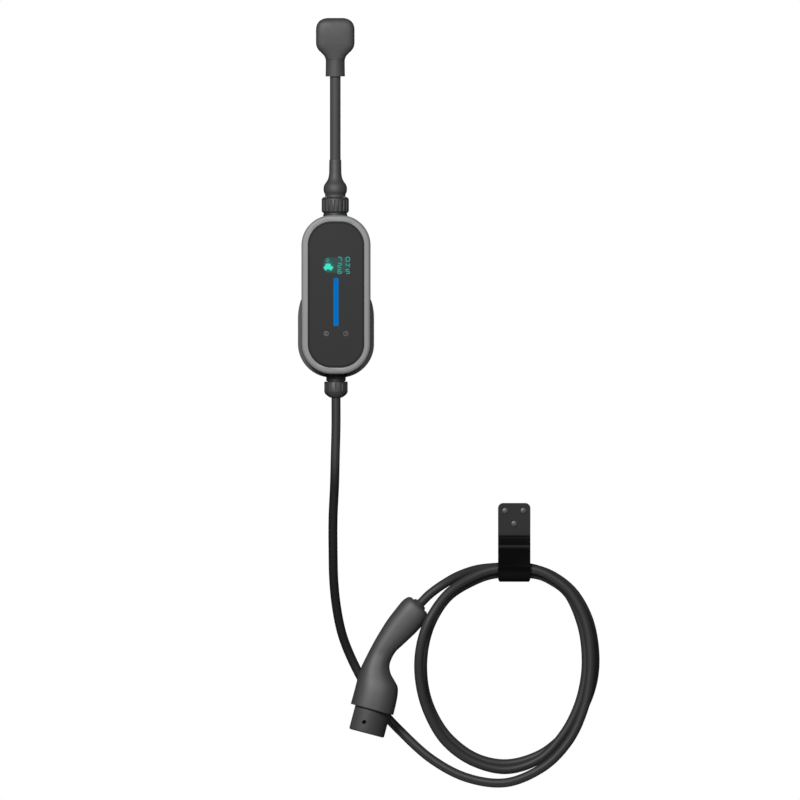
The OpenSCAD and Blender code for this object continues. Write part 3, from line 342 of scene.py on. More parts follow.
def ring_plates(
    cx: float, cz: float, r: float, thick: float, parts: int = 14, filled: float = 0.97
) -> list[Array]:
    """A ring of short plates: points of the outer circle one way, and of the inner one back.

    Args:
        cx: Its middle's x in millimetres.
        cz: Its middle's z in millimetres.
        r: Its outer radius.
        thick: Its width from the outer circle to the inner one.
        parts: Number of plates.
        filled: How much of its share of the circle a plate takes up.

    Returns:
        One outline per plate.
    """
    made = []
    for k in range(parts):
        a = np.linspace(2 * np.pi * k / parts, 2 * np.pi * (k + filled) / parts, MARK_POINTS // 2)
        way = np.stack([np.cos(a), np.sin(a)], axis=1)
        made.append(np.concatenate([way * r, way[::-1] * (r - thick)]) + [cx, cz])
    return made


def join_rings(name: str, stacks: list[Array]) -> bpy.types.Object:
    """One mesh of several short tubes, each a pair of rings closed at both ends.

    Args:
        name: Name of the new piece.
        stacks: Both rings of each tube, in metres.

    Returns:
        The new piece.
    """
    points, faces = [], []
    for stack in stacks:
        base = len(points)
        count = stack.shape[1]
        points += stack.reshape(-1, 3).tolist()
        k = np.arange(count)
        n = (k + 1) % count
        faces += (np.stack([k, n, n + count, k + count], axis=-1) + base).tolist()
        faces += [(base + k[::-1]).tolist(), (base + count + k).tolist()]
    mesh = bpy.data.meshes.new(name)
    mesh.from_pydata(points, [], faces)
    return finish_mesh(name, mesh)


def cut_away(piece: bpy.types.Object, stacks: list[Array]) -> None:
    """Cuts short tubes out of a piece.

    Args:
        piece: The piece.
        stacks: Both rings of each tube, in metres.
    """
    cutter = join_rings("cutter", stacks)
    cut = piece.modifiers.new("holes", "BOOLEAN")
    cut.object = cutter
    cut.solver = "EXACT"
    made = bpy.data.meshes.new_from_object(
        piece.evaluated_get(bpy.context.evaluated_depsgraph_get())
    )
    piece.modifiers.clear()
    piece.data = made
    shade(made, CUT_SHARP_ANGLE)
    bpy.data.objects.remove(cutter)


# Shader tools


def arithmetic(
    operation: str, flipped: bool = False
) -> Callable[["Term", "Term | float"], "Term"]:
    """Makes a method of Term that adds one Math node.

    Args:
        operation: The node's operation.
        flipped: Whether the other value comes first, as a number on the left does.

    Returns:
        The method.
    """

    def method(self: "Term", other: "Term | float") -> "Term":
        """Adds the node for this term and another value."""
        return self.graph.maths(operation, *((other, self) if flipped else (self, other)))

    return method


class Term:
    """A shader's output that takes part in plain arithmetic: each operator adds its Math node."""

    __add__ = arithmetic("ADD")
    __radd__ = arithmetic("ADD", flipped=True)
    __sub__ = arithmetic("SUBTRACT")
    __rsub__ = arithmetic("SUBTRACT", flipped=True)
    __mul__ = arithmetic("MULTIPLY")
    __truediv__ = arithmetic("DIVIDE")
    __pow__ = arithmetic("POWER")
    largest = arithmetic("MAXIMUM")

    def __init__(self, graph: "Graph", socket: bpy.types.NodeSocket) -> None:
        """Keeps the output and the graph that it belongs to."""
        self.graph = graph
        self.socket = socket

    def __abs__(self) -> "Term":
        """The value without its sign."""
        return self.graph.maths("ABSOLUTE", self)

    def above(self, low: float, high: float) -> "Term":
        """0 below low, 1 above high and a smooth step between them."""
        return self.graph.term(
            "ShaderNodeMapRange",
            {"interpolation_type": "SMOOTHSTEP"},
            {"Value": self, "From Min": low, "From Max": high},
        )


class Graph:
    """Nodes of a material or of the world, which are added to by plain expressions."""

    def __init__(
        self, name: str, owners: bpy.types.bpy_prop_collection = bpy.data.materials
    ) -> None:
        """Starts a new material, or a new world, with no nodes.

        Args:
            name: Its name.
            owners: Blender's collection that it is added to.
        """
        self.owner = owners.new(name)
        self.owner.use_nodes = True
        self.tree = self.owner.node_tree
        self.tree.nodes.clear()

    def node(
        self,
        kind: str,
        settings: dict[str, object] | None = None,
        values: dict[str | int, object] | None = None,
    ) -> bpy.types.Node:
        """Adds any node.

        Args:
            kind: The node's type.
            settings: Its properties, such as a Math node's operation, which are set first.
            values: The value or Term of each socket, by the socket's name or number.

        Returns:
            The node.
        """
        made = self.tree.nodes.new(kind)
        for name, setting in (settings or {}).items():
            setattr(made, name, setting)
        for key, value in (values or {}).items():
            if isinstance(value, Term):
                self.tree.links.new(value.socket, made.inputs[key])
            else:
                made.inputs[key].default_value = value
        return made

    def term(
        self,
        kind: str,
        settings: dict[str, object] | None = None,
        values: dict[str | int, object] | None = None,
        output: str | int = 0,
    ) -> Term:
        """Adds any node as the method above does, and gives one of its outputs."""
        return Term(self, self.node(kind, settings, values).outputs[output])

    def maths(self, operation: str, *terms: "Term | float") -> Term:
        """Adds one Math node."""
        return self.term("ShaderNodeMath", {"operation": operation}, dict(enumerate(terms)))

    def place(
        self, scale: Point = (1, 1, 1), turn: Point = (0, 0, 0), output: str = "Object"
    ) -> Term:
        """Place on the surface, in metres, scaled and turned in degrees."""
        return self.term(
            "ShaderNodeMapping",
            None,
            {
                "Vector": self.term("ShaderNodeTexCoord", output=output),
                "Scale": scale,
                "Rotation": tuple(math.radians(a) for a in turn),
            },
        )

    def parts(self, vector: Term) -> list[Term]:
        """The three numbers of a vector."""
        made = self.node("ShaderNodeSeparateXYZ", None, {0: vector})
        return [Term(self, output) for output in made.outputs]

    def noise(self, place: Term, scale: float, detail: float = 3, rough: float = 0.55) -> Term:
        """Cloudy noise about 0.5, with so many bumps to the metre."""
        return self.term(
            "ShaderNodeTexNoise",
            {"noise_dimensions": "3D"},
            {"Vector": place, "Scale": scale, "Detail": detail, "Roughness": rough},
        )

    def cells(self, place: Term, scale: float, output: str, feature: str = "F1") -> Term:
        """One output of Voronoi cells, with so many to the metre."""
        return self.term(
            "ShaderNodeTexVoronoi", {"feature": feature}, {"Vector": place, "Scale": scale}, output
        )

    def mix(self, share: "Term | float", a: "Term | Colour", b: "Term | Colour") -> Term:
        """Mixes two colours.

        Args:
            share: Share of the second colour.
            a: First colour.
            b: Second colour.

        Returns:
            The mixed colour.
        """

        def full(colour: "Term | Colour") -> "Term | tuple[float, ...]":
            """Adds the fourth number to a plain colour."""
            return colour if isinstance(colour, Term) else (*colour, 1.0)

        return self.term(
            "ShaderNodeMix", {"data_type": "RGBA"}, {0: share, 6: full(a), 7: full(b)}, output=2
        )

    def shade(self, colour: Colour, strength: Term) -> Term:
        """One colour made darker or lighter by a value about 1."""
        return self.term(
            "ShaderNodeVectorMath", {"operation": "SCALE"}, {0: colour, "Scale": strength}
        )

    def bump(self, height: Term, depth: float) -> Term:
        """Normal of a relief whose height runs from 0 to 1 over a depth in metres."""
        return self.term(
            "ShaderNodeBump", None, {"Strength": 1.0, "Distance": depth, "Height": height}
        )

    def surface(self, **values: object) -> bpy.types.Material:
        """Closes the material with a Principled shader.

        Args:
            **values: Number, colour or Term of each socket, by its name in small letters.

        Returns:
            The material.
        """
        named = {
            key.replace("_", " ").title().replace("Ior", "IOR"): (
                (*value, 1.0) if isinstance(value, tuple) and len(value) == 3 else value
            )
            for key, value in values.items()
        }
        shader = self.term("ShaderNodeBsdfPrincipled", None, named)
        self.node("ShaderNodeOutputMaterial", None, {"Surface": shader})
        return self.owner


# Finishes


class Finish(Protocol):
    """What every finish offers."""

    @property
    def name(self) -> str:
        """Name of its material."""

    def material(self) -> bpy.types.Material:
        """Makes its material."""


@dataclass(frozen=True)
class MouldedPlastic:
    """Injection-moulded plastic with a spark-eroded grain, faint flow clouds and rubbed spots.

    Painted light: a piece can be made lighter towards +x by a share of its colour, rising from one
    x to the other in metres.
    """

    name: str
    colour: Colour
    roughness: float = 0.5
    grain: float = 1500.0
    depth: float = 0.00003
    clouds: float = 0.12
    rubbed: float = 0.25
    shine: float = 0.5
    painted_light: float = 0.0
    painted_light_over: tuple[float, float] = (-0.01, 0.05)

    def material(self) -> bpy.types.Material:
        """Builds the material.

        Returns:
            The new material.
        """
        g = Graph(self.name)
        place = g.place()
        grain = g.noise(place, self.grain, detail=4, rough=0.6)
        cloud = g.noise(place, 38, detail=3)
        rub = g.noise(place, 210, detail=5, rough=0.7).above(0.6, 0.82) * self.rubbed
        tone = 1 + (cloud - 0.5) * self.clouds + (grain - 0.5) * 0.25 + rub
        # Painted light: lighter towards +x.
        if self.painted_light:
            tone = tone * (1 + g.parts(place)[0].above(*self.painted_light_over) * self.painted_light)
        return g.surface(
            base_color=g.shade(self.colour, tone),
            roughness=self.roughness + (grain - 0.5) * 0.16 - rub * 0.25,
            specular_ior_level=self.shine,
            normal=g.bump(grain, self.depth),
        )


@dataclass(frozen=True)
class SoftRubber:
    """Moulded rubber: deep black, a fine skin, a little bloom and dust in the hollows."""

    name: str
    colour: Colour
    roughness: float = 0.62
    shine: float = 0.8
    dust: Colour = (0.06, 0.06, 0.062)

    def material(self) -> bpy.types.Material:
        """Builds the material.

        Returns:
            The new material.
        """
        g = Graph(self.name)
        place = g.place()
        skin = g.noise(place, 900, detail=4, rough=0.65)
        bloom = g.noise(place, 60, detail=4).above(0.45, 0.75)
        return g.surface(
            base_color=g.mix(bloom * 0.2, g.shade(self.colour, 0.9 + skin * 0.2), self.dust),
            roughness=self.roughness + (skin - 0.5) * 0.14 + bloom * 0.08,
            specular_ior_level=self.shine,
            normal=g.bump(skin, 0.00003),
        )


@dataclass(frozen=True)
class CableSheath:
    """Extruded sheath: drawing lines along the cable, soft waves round it and scuffed patches.

    The texture's first number runs once round the cable and its second is the length in metres.
    A stretch can be darkened, as painted shade, and made rougher. It starts and ends softly at the
    two lengths.
    """

    name: str
    colour: Colour
    roughness: float = 0.68
    dull_painted_shade: tuple[float, float] | None = None
    shade_starts_in: float = 0.06
    shade_ends_in: float = 0.1
    darker: float = 0.85
    rougher: float = 0.32

    def material(self) -> bpy.types.Material:
        """Builds the material.

        Returns:
            The new material.
        """
        g = Graph(self.name)
        lines = g.noise(g.place(output="UV", scale=(14, 1.5, 1)), 9, detail=3, rough=0.5)
        skin = g.noise(g.place(), 1100, detail=3, rough=0.6)
        scuff = g.noise(g.place(), 90, detail=5, rough=0.7).above(0.58, 0.8)
        tone = 0.86 + lines * 0.28 + scuff * 0.3
        roughness = self.roughness + (lines - 0.5) * 0.1 + scuff * 0.06 + (skin - 0.5) * 0.1
        # Painted shade: the sheath is darkened between the two lengths, and also made rougher.
        if self.dull_painted_shade:
            start, end = self.dull_painted_shade
            _, gone, _ = g.parts(g.place(output="UV"))
            clear = gone.above(end - self.shade_ends_in, end)
            dull_painted_shade = gone.above(start, start + self.shade_starts_in) * (1 - clear)
            tone = tone * (1 - dull_painted_shade * self.darker)
            roughness = roughness + dull_painted_shade * self.rougher
        return g.surface(
            base_color=g.shade(self.colour, tone),
            roughness=roughness,
            specular_ior_level=0.3,
            normal=g.bump(lines * 0.4 + skin * 0.6, 0.00002),
        )


@dataclass(frozen=True)
class SilverLacquer:
    """Silver lacquer: small metal flakes under a thin clear coat, with a fine orange peel."""

    name: str
    colour: Colour
    roughness: float = 0.55

    def material(self) -> bpy.types.Material:
        """Builds the material.

        Returns:
            The new material.
        """
        g = Graph(self.name)
        place = g.place()
        flakes = g.parts(g.cells(place, 5200, "Color"))[0]
        peel = g.noise(place, 420, detail=3)
        cloud = g.noise(place, 30, detail=2)
        return g.surface(
            base_color=g.shade(self.colour, 0.93 + flakes * 0.14 + (cloud - 0.5) * 0.08),
            metallic=0.08 + flakes * 0.08,
            roughness=self.roughness + (flakes - 0.5) * 0.12,
            coat_weight=0.05,
            coat_roughness=0.4,
            normal=g.bump(peel, 0.000015),
        )


@dataclass(frozen=True)
class PanelFinish:
    """Dark satin panel whose printed border is darker than its middle.

    A place's distance from the panel's rim is the corner's radius less the length of the part of
    the place that lies outside the rectangle of the corners' middles. The border ends softly
    between two such distances.
    """

    name: str
    colour: Colour
    border: Colour
    middle: float
    width: float
    height: float
    corner: float
    border_ends: tuple[float, float] = (0.0016, 0.0044)

    def material(self) -> bpy.types.Material:
        """Builds the material.

        Returns:
            The new material.
        """
        g = Graph(self.name)
        place = g.place()
        x, _, z = g.parts(place)
        side = (abs(x) - (self.width / 2 - self.corner)).largest(0.0)
        rise = (abs(z - self.middle) - (self.height / 2 - self.corner)).largest(0.0)
        inset = self.corner - (side * side + rise * rise) ** 0.5
        middle = inset.above(*self.border_ends)
        skin = g.noise(place, 1300, detail=3, rough=0.6)
        smear = g.noise(g.place(scale=(1, 1, 0.3), turn=(0, 24, 0)), 38, detail=4).above(0.5, 0.8)
        return g.surface(
            base_color=g.mix(middle, self.border, g.shade(self.colour, 0.9 + skin * 0.2)),
            roughness=0.42 + (skin - 0.5) * 0.08 + smear * 0.07,
            specular_ior_level=0.2,
            normal=g.bump(skin, 0.000008),
        )


@dataclass(frozen=True)
class LitField:
    """Lit plastic: an almost even glow and a soft skin."""

    name: str
    colour: Colour
    glow: Colour

    def material(self) -> bpy.types.Material:
        """Builds the material.

        Returns:
            The new material.
        """
        g = Graph(self.name)
        even = 0.92 + g.noise(g.place(), 160, detail=2) * 0.16
        skin = g.noise(g.place(), 1200, detail=2)
        return g.surface(
            base_color=self.colour,
            roughness=0.3 + skin * 0.1,
            specular_ior_level=0.02,
            emission_color=g.shade(self.glow, even),
            emission_strength=1.0,
            normal=g.bump(skin, 0.000006),
        )


@dataclass(frozen=True)
class DisplayGround:
    """Dim glow of the display, strongest round its car and gone towards its rim.

    Both fields are sums of powers of the two distances, each in shares of its own reach. The rim
    and the halo round the car run softly from one value of their field to the other.
    """

    name: str
    middle: float
    reach: tuple[float, float] = (0.019, 0.0122)
    car: tuple[float, float] = (-0.0106, -0.002)
    car_reach: tuple[float, float] = (0.0085, 0.0075)
    rim: tuple[float, float] = (0.1, 1.0)
    halo_ends: tuple[float, float] = (0.2, 1.3)
    halo: float = 1.8
    colour: Colour = (0.021, 0.021, 0.0215)
    glow: Colour = (0.002, 0.042, 0.036)

    def material(self) -> bpy.types.Material:
        """Builds the material.

        Returns:
            The new material.
        """
        g = Graph(self.name)
        place = g.place()
        x, _, z = g.parts(place)
        z = z - self.middle
        (wide, high), (car_x, car_z), (car_wide, car_high) = self.reach, self.car, self.car_reach
        near = (abs(x) / wide) ** 4.0 + (abs(z) / high) ** 4.0
        car = (abs(x - car_x) / car_wide) ** 2.0 + (abs(z - car_z) / car_high) ** 2.0
        halo = (1 - car.above(*self.halo_ends)) * self.halo
        glow = (1 - near.above(*self.rim)) * (0.7 + g.noise(place, 300, detail=2) * 0.5 + halo)
        return g.surface(
            base_color=self.colour,
            roughness=0.39 + g.noise(place, 1300, detail=2) * 0.06,
            specular_ior_level=0.2,
            emission_color=g.shade(self.glow, glow),
            emission_strength=1.0,
        )


class Polish(Enum):
    """How a metal piece is finished."""

    PLATED = 0.24
    BRUSHED = 0.38
    BLACKENED = 0.46


@dataclass(frozen=True)
class Metal:
    """Metal with fine turning marks and small matt stains."""

    name: str
    colour: Colour
    polish: Polish

    def material(self) -> bpy.types.Material:
        """Builds the material.

        Returns:
            The new material.
        """
        g = Graph(self.name)
        marks = g.noise(g.place(scale=(1, 0.08, 1)), 2600, detail=3, rough=0.7)
        stain = g.noise(g.place(), 300, detail=4, rough=0.65).above(0.5, 0.78)
        return g.surface(
            base_color=g.shade(self.colour, 0.9 + marks * 0.2 - stain * 0.22),
            metallic=0.4 if self.polish is Polish.BLACKENED else 1.0,
            roughness=self.polish.value + (marks - 0.5) * 0.2 + stain * 0.14,
            normal=g.bump(marks, 0.00001),
        )


@dataclass(frozen=True)
class CircuitBoard:
    """Lacquered board with tracks under its lacquer and small plated holes.

    Tracks run along the borders between cells, and the holes lie round the middles of smaller
    cells. Both end softly between two distances, in shares of a cell.
    """

    name: str
    colour: Colour
    track_cells: float = 190
    track_ends: tuple[float, float] = (0.05, 0.09)
    track_tone: float = 1.9
    hole_cells: float = 320
    hole_ends: tuple[float, float] = (0.12, 0.18)
    copper: Colour = (0.62, 0.5, 0.28)

    def material(self) -> bpy.types.Material:
        """Builds the material.

        Returns:
            The new material.
        """
        g = Graph(self.name)
        place = g.place()
        border = g.cells(place, self.track_cells, "Distance", "DISTANCE_TO_EDGE")
        track = 1 - border.above(*self.track_ends)
        hole = 1 - g.cells(place, self.hole_cells, "Distance").above(*self.hole_ends)
        base = g.mix(track * 0.6, self.colour, tuple(c * self.track_tone for c in self.colour))
        return g.surface(
            base_color=g.mix(hole * 0.8, base, self.copper),
            metallic=hole * 0.7,
            roughness=0.3 + track * 0.1,
            normal=g.bump(track * 0.5 + hole * 0.5, 0.00002),
        )


@dataclass(frozen=True)
class HookFinish:
    """Matt screw plate above, smooth near-black bend below, and a painted highlight on the lip's
    edge.

    The border lies at one height, with a soft step of a few millimetres. The painted highlight lies
    where the height is near its own and the place lies far enough from the wall.
    """

    name: str
    plate: Colour
    bend: Colour
    lip_highlight: Colour
    border: float
    bead_height: float
    border_step: tuple[float, float] = (-0.003, 0.001)
    bead_ends: tuple[float, float] = (0.001, 0.0034)
    bead_out: tuple[float, float] = (0.03, 0.04)

    def material(self) -> bpy.types.Material:
        """Builds the material.

        Returns:
            The new material.
        """
        g = Graph(self.name)
        place = g.place()
        _, y, z = g.parts(place)
        upper = z.above(*(self.border + step for step in self.border_step))
        # Painted highlight: the lip's rolled top edge is lighter than the rest of the bend.
        level = 1 - abs(z - self.bead_height).above(*self.bead_ends)
        near = level * (0 - y).above(*self.bead_out)
        grain = g.noise(place, 1500, detail=4, rough=0.6)
        cloud = g.noise(place, 60, detail=3)
        tone = 0.88 + grain * 0.16 + cloud * 0.1
        lower = g.mix(near, g.shade(self.bend, tone), g.shade(self.lip_highlight, tone))
        return g.surface(
            base_color=g.mix(upper, lower, g.shade(self.plate, tone)),
            roughness=0.3 + upper * 0.26 + (grain - 0.5) * 0.1,
            specular_ior_level=0.08,
            normal=g.bump(grain, 0.00003),
        )


BOX_PLASTIC = MouldedPlastic("box_plastic", (0.03, 0.031, 0.034), 0.52)
HANDLE_PLASTIC = MouldedPlastic(
    "handle_plastic", (0.045, 0.0455, 0.047), 0.6, grain=1150, shine=1.0
)
NOSE_PLASTIC = MouldedPlastic("nose_plastic", (0.038, 0.0385, 0.039), 0.6, grain=1900, shine=0.7)
# The cradle gets painted light on its right side, which lifts the box's cast shadow there.
CRADLE_PLASTIC = MouldedPlastic("cradle_plastic", (0.068, 0.0685, 0.07), 0.55, painted_light=1.7)
GLAND_PLASTIC = MouldedPlastic(
    "gland_plastic", (0.026, 0.0265, 0.027), 0.58, grain=2100, shine=0.9
)
PART_PLASTIC = MouldedPlastic("component_plastic", (0.09, 0.09, 0.11), 0.45)
TERMINAL_PLASTIC = MouldedPlastic("terminal_plastic", (0.05, 0.22, 0.09), 0.4)
PLUG_RUBBER = SoftRubber("plug_rubber", (0.044, 0.0445, 0.045))
SEAL_RUBBER = SoftRubber("seal_rubber", (0.022, 0.022, 0.024))
# Painted shade darkens the charging sheath from 0.09 to 0.46 m along it.
SHEATH = CableSheath("charging_sheath", (0.035, 0.035, 0.036), 0.5, dull_painted_shade=(0.09, 0.46))
LEAD_SHEATH = CableSheath("lead_sheath", (0.058, 0.0585, 0.06), 0.6)
CORE_SHEATH = SoftRubber("core_insulation", (0.16, 0.09, 0.05), 0.45)
SILVER = SilverLacquer("silver_lacquer", (0.235, 0.238, 0.237))
STEEL = Metal("screw_steel", (0.5, 0.51, 0.53), Polish.BRUSHED)
DARK_STEEL = Metal("dark_screw", (0.11, 0.11, 0.115), Polish.BLACKENED)
PLATED = Metal("pin_plating", (0.62, 0.61, 0.58), Polish.PLATED)
BRASS = Metal("contact_brass", (0.72, 0.52, 0.2), Polish.PLATED)
BOARD = CircuitBoard("circuit_board", (0.012, 0.09, 0.035))
BLUE = LitField("blue_light", (0.0, 0.004, 0.012), (0.0, 0.155, 0.5))
TEAL = LitField("teal_light", (0.0, 0.05, 0.04), (0.05, 0.75, 0.55))
TEAL_SIGN = LitField("teal_sign_light", (0.0, 0.04, 0.03), (0.016, 0.33, 0.27))
TEAL_DIM = LitField("teal_dim_light", (0.0, 0.03, 0.03), (0.012, 0.16, 0.13))
HOOK_PLASTIC = HookFinish(
    "hook_plastic",
    plate=(0.032, 0.032, 0.0325),
    bend=(0.0035, 0.0035, 0.0036),
    lip_highlight=(0.016, 0.016, 0.016),
    border=-0.267,
    bead_height=-0.2838,
)
MARK_GREY = MouldedPlastic("touch_mark_ink", (0.14, 0.14, 0.145), 0.5, clouds=0.05)


@cache
def made_once(finish: Finish) -> bpy.types.Material:
    """A finish's material, which all pieces of that finish share."""
    return finish.material()


def dress(piece: bpy.types.Object, finish: Finish, slot: str | None = None) -> bpy.types.Object:
    """Gives a piece its finish, and puts a new piece under its body.

    Args:
        piece: A CAD node's object or a new one.
        finish: How its surface is finished.
        slot: A slot's name for a new piece, or nothing for a CAD node; it only tells the two apart.

    Returns:
        The same piece.
    """
    piece.data.materials.clear()
    piece.data.materials.append(made_once(finish))
    if slot:
        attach(piece, BODY)
    log.info("%s: %s", piece.name, finish.name)
    return piece


def dress_softened(pieces: dict[str, tuple[Finish, str, float]]) -> None:
    """Replaces CAD nodes by dressed copies with softened edges.

    Args:
        pieces: Finish, slot and width of the softened edges in metres, by node.
    """
    for node, (finish, slot, edge) in pieces.items():
        dress(merged_copy(node, edge), finish, slot)


def dress_carried(pieces: dict[str, Finish]) -> None:
    """Gives CAD nodes that are seen as they are their finish."""
    for node, finish in pieces.items():
        dress(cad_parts[node], finish)


# Camera, light and floor


@dataclass(frozen=True)
class Lamp:
    """One square soft light: where it stands, its side, its power, and whether it is mirrored."""

    name: str
    place: Point
    size: float
    power: float
    mirrored: bool = True


LAMPS = (
    Lamp("key", (-1.0, -3.4, 1.5), 1.1, 136),
    Lamp("fill", (0.9, -3.5, 1.0), 0.9, 20),
    Lamp("rear", (0.1, 3.4, 0.3), 1.1, 60, mirrored=False),
    Lamp("left", (-3.4, -0.5, 0.6), 1.2, 4),
    Lamp("right", (3.4, 0.9, 0.6), 1.2, 4),
)


@dataclass
class Studio:
    """Camera in front, soft lights all round, white surroundings and a pale floor below."""

    aim: Point = (0.08, 0, -0.1)
    ambient: Colour = (0.035, 0.035, 0.036)
    floor_colour: Colour = (0.78, 0.78, 0.77)
    pixel: float = 0.00136
    picture: int = 800
    wall_px: tuple[float, float] = (336.0, 338.0)
    distance: float = 4.0
    clip: float = 20.0
    floor_x: tuple[float, float] = (-1.1, 1.3)
    floor_y: tuple[float, float] = (-1.3, 0.45)
    floor_z: float = -1.7
    floor_edge: float = 0.05
    floor_drop: float = 0.02
    floor_grid: tuple[int, int] = (25, 19)

    def camera(self) -> None:
        """Looks straight at the wall, with the photograph's frame round the object."""
        data = bpy.data.cameras.new("camera")
        data.type = "ORTHO"
        data.ortho_scale = self.pixel * self.picture
        data.clip_end = self.clip
        camera = bpy.data.objects.new("camera", data)
        half = self.picture / 2
        camera.location = (
            (half - self.wall_px[0]) * self.pixel,
            -self.distance,
            (self.wall_px[1] - half) * self.pixel,
        )
        camera.rotation_euler = Euler((math.radians(90), 0, 0))
        bpy.context.scene.collection.objects.link(camera)
        bpy.context.scene.camera = camera

    def light(self, lamp: Lamp) -> None:
        """Adds one lamp, turned towards the aim.

        Args:
            lamp: The lamp.
        """
        data = bpy.data.lights.new(lamp.name, "AREA")
        data.size = lamp.size
        data.energy = lamp.power
        piece = bpy.data.objects.new(lamp.name, data)
        piece.location = lamp.place
        piece.visible_glossy = lamp.mirrored
        way = Vector(self.aim) - Vector(lamp.place)
        piece.rotation_euler = way.to_track_quat("-Z", "Y").to_euler()
        bpy.context.scene.collection.objects.link(piece)

    def surroundings(self) -> None:
        """White to the eye, and a dim even grey as a light."""
        g = Graph("surroundings", bpy.data.worlds)
        seen = g.term("ShaderNodeLightPath", output="Is Camera Ray")
        light = g.term("ShaderNodeBackground", None, {0: (*self.ambient, 1.0)})
        white = g.term("ShaderNodeBackground", None, {0: (1.0, 1.0, 1.0, 1.0)})
        mixed = g.term("ShaderNodeMixShader", None, {0: seen, 1: light, 2: white})
        g.node("ShaderNodeOutputWorld", None, {0: mixed})
        bpy.context.scene.world = g.owner

    def floor(self) -> None:
        """A plain pale floor below the camera's view.

        Its rear edge is rounded: the drop grows with the square of the way into the edge.
        """
        columns, rows = self.floor_grid
        x, y = np.meshgrid(
            np.linspace(*self.floor_x, columns), np.linspace(*self.floor_y, rows), indexing="ij"
        )
        into = np.clip((y - self.floor_y[1]) / self.floor_edge + 1, 0, 1)
        points = np.stack([x, y, self.floor_z - self.floor_drop * into**2], axis=-1)
        floor = join_grid("floor", points, round_about=False, end_caps=False)
        g = Graph("floor_paint")
        cloud = g.noise(g.place(), 6, detail=3)
        floor.data.materials.append(
            g.surface(base_color=g.shade(self.floor_colour, 0.97 + cloud * 0.06), roughness=0.7)
        )

    def build(self) -> None:
        """Sets up the whole studio."""
        self.camera()
        self.surroundings()
        for lamp in LAMPS:
            self.light(lamp)
        self.floor()
        settings = bpy.context.scene.view_settings
        settings.view_transform = "Standard"
        settings.look = "None"


# Cords


@dataclass
class Cord:
    """A round cable along given points, as the solids have them.

    Ring k lies round the curve's point k: its points are the point plus the radius times the
    cosine of the turn along the cross product of the way and Y, and the sine along the third
    direction.
    """

    name: str
    node: str
    route: list[Point]
    diameter: float
    finish: CableSheath
    sides: int = 28
    step: float = 4.0
    between: int = 40

    def centreline(self) -> Array:
        """The curve through the chosen points, divided anew into steps of even length.

        Returns:
            Points along the cable, in millimetres.
        """
        points = np.array(self.route, dtype=float)
        s = np.linspace(0, len(points) - 1, (len(points) - 1) * self.between + 1)
        fine = curve_at(points, s)
        gone = np.concatenate([[0.0], np.cumsum(np.linalg.norm(np.diff(fine, axis=0), axis=1))])
        count = int(gone[-1] / self.step) + 1
        even = np.linspace(0, gone[-1], count)
        return np.stack([np.interp(even, gone, fine[:, k]) for k in range(3)], axis=1)

    def build(self, exit_point: Point, far_end: str, on_it: list[str], lay: str) -> None:
        """Args:
            exit_point: Where it leaves the object, in millimetres. Not used.
            far_end: What is on its far end. Not used.
            on_it: Pieces and CAD nodes that the cable carries. Not used.
            lay: How it lies. Not used.
        """
        line = self.centreline()
        way = np.gradient(line, axis=0)
        way /= np.linalg.norm(way, axis=1)[:, None]
        u = np.cross(way, [0.0, 1.0, 0.0])
        u /= np.linalg.norm(u, axis=1)[:, None]
        v = np.cross(way, u)
        turn = turns(self.sides)[None, :, None]
        points = line[:, None] + self.diameter / 2 * (
            np.cos(turn) * u[:, None] + np.sin(turn) * v[:, None]
        )
        length = float(np.linalg.norm(np.diff(line, axis=0), axis=1).sum())
        gone = np.linspace(0, length * MM, len(line))
        uv = np.stack(
            np.meshgrid(gone, np.linspace(0, 1, self.sides + 1), indexing="ij")[::-1], axis=-1
        )
        piece = join_grid(self.name, points * MM, uv=uv)
        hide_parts(self.node)
        dress(piece, self.finish, "cable_sheath")
        log.info("%s is %.3f m long", self.name, length * MM)


# Chosen points of both cables, in millimetres.
LEAD_ROUTE = [(-1.0, -25.0, 242.7 + 113.0 * k / 3) for k in range(4)]
CHARGING_ROUTE = [
    (0, -25, -58), (0, -25, -82), (0, -25, -120), (-1, -25, -160),
    (-2, -25, -200), (-4, -25, -245), (-4, -24, -290), (-3, -21, -330),
    (1, -16, -368), (9, -12, -405), (23, -10.5, -440), (41, -10.5, -474),
    (62, -11, -506), (86, -14.5, -533), (129, -22, -572), (178, -30, -598),
    (232, -37, -604.6), (282, -38.5, -583.5), (316, -38.5, -549), (335.5, -38.5, -509),
    (344.5, -38.5, -469), (346, -38.5, -428), (339, -38, -386), (320, -37.5, -348),
    (294, -37, -325.5), (266, -36.5, -314.4), (218, -36.5, -314.4), (184, -42.5, -326),
    (151, -55, -348.6), (125.4, -66, -386), (113.6, -64, -428), (114.3, -54, -470),
    (126, -43, -511), (149, -34, -549), (186, -28, -576), (232, -25.5, -587),
    (277, -25.5, -572.5), (308.5, -25.5, -540), (328, -25.5, -504), (338, -25.5, -467),
    (340, -25.5, -430), (334, -25.5, -390), (317, -25.3, -350), (293, -25, -330),
    (266, -24.9, -320.8), (218, -24.9, -320.8), (184.5, -25, -331.8), (152, -25, -353),
    (129.5, -24, -388), (119, -22, -428), (119.4, -20, -470), (130.5, -18, -508),
    (153, -15.5, -543), (189, -13.5, -570), (232, -12.5, -579), (276, -12.5, -567),
    (309, -12.5, -541.5), (334, -12.5, -508), (349, -12.5, -469), (352, -12.5, -428),
    (344, -12.5, -384), (324, -12.5, -347), (296, -12.6, -324), (266, -12.6, -313),
    (242, -12.6, -311.4), (217, -14.2, -311.9), (191, -22.4, -315), (166.5, -36.4, -323.4),
    (145.5, -46.4, -335.3), (127.5, -50, -348.4), (113, -50, -362.9), (98.9, -50, -377.1),
]


# Sub-assemblies


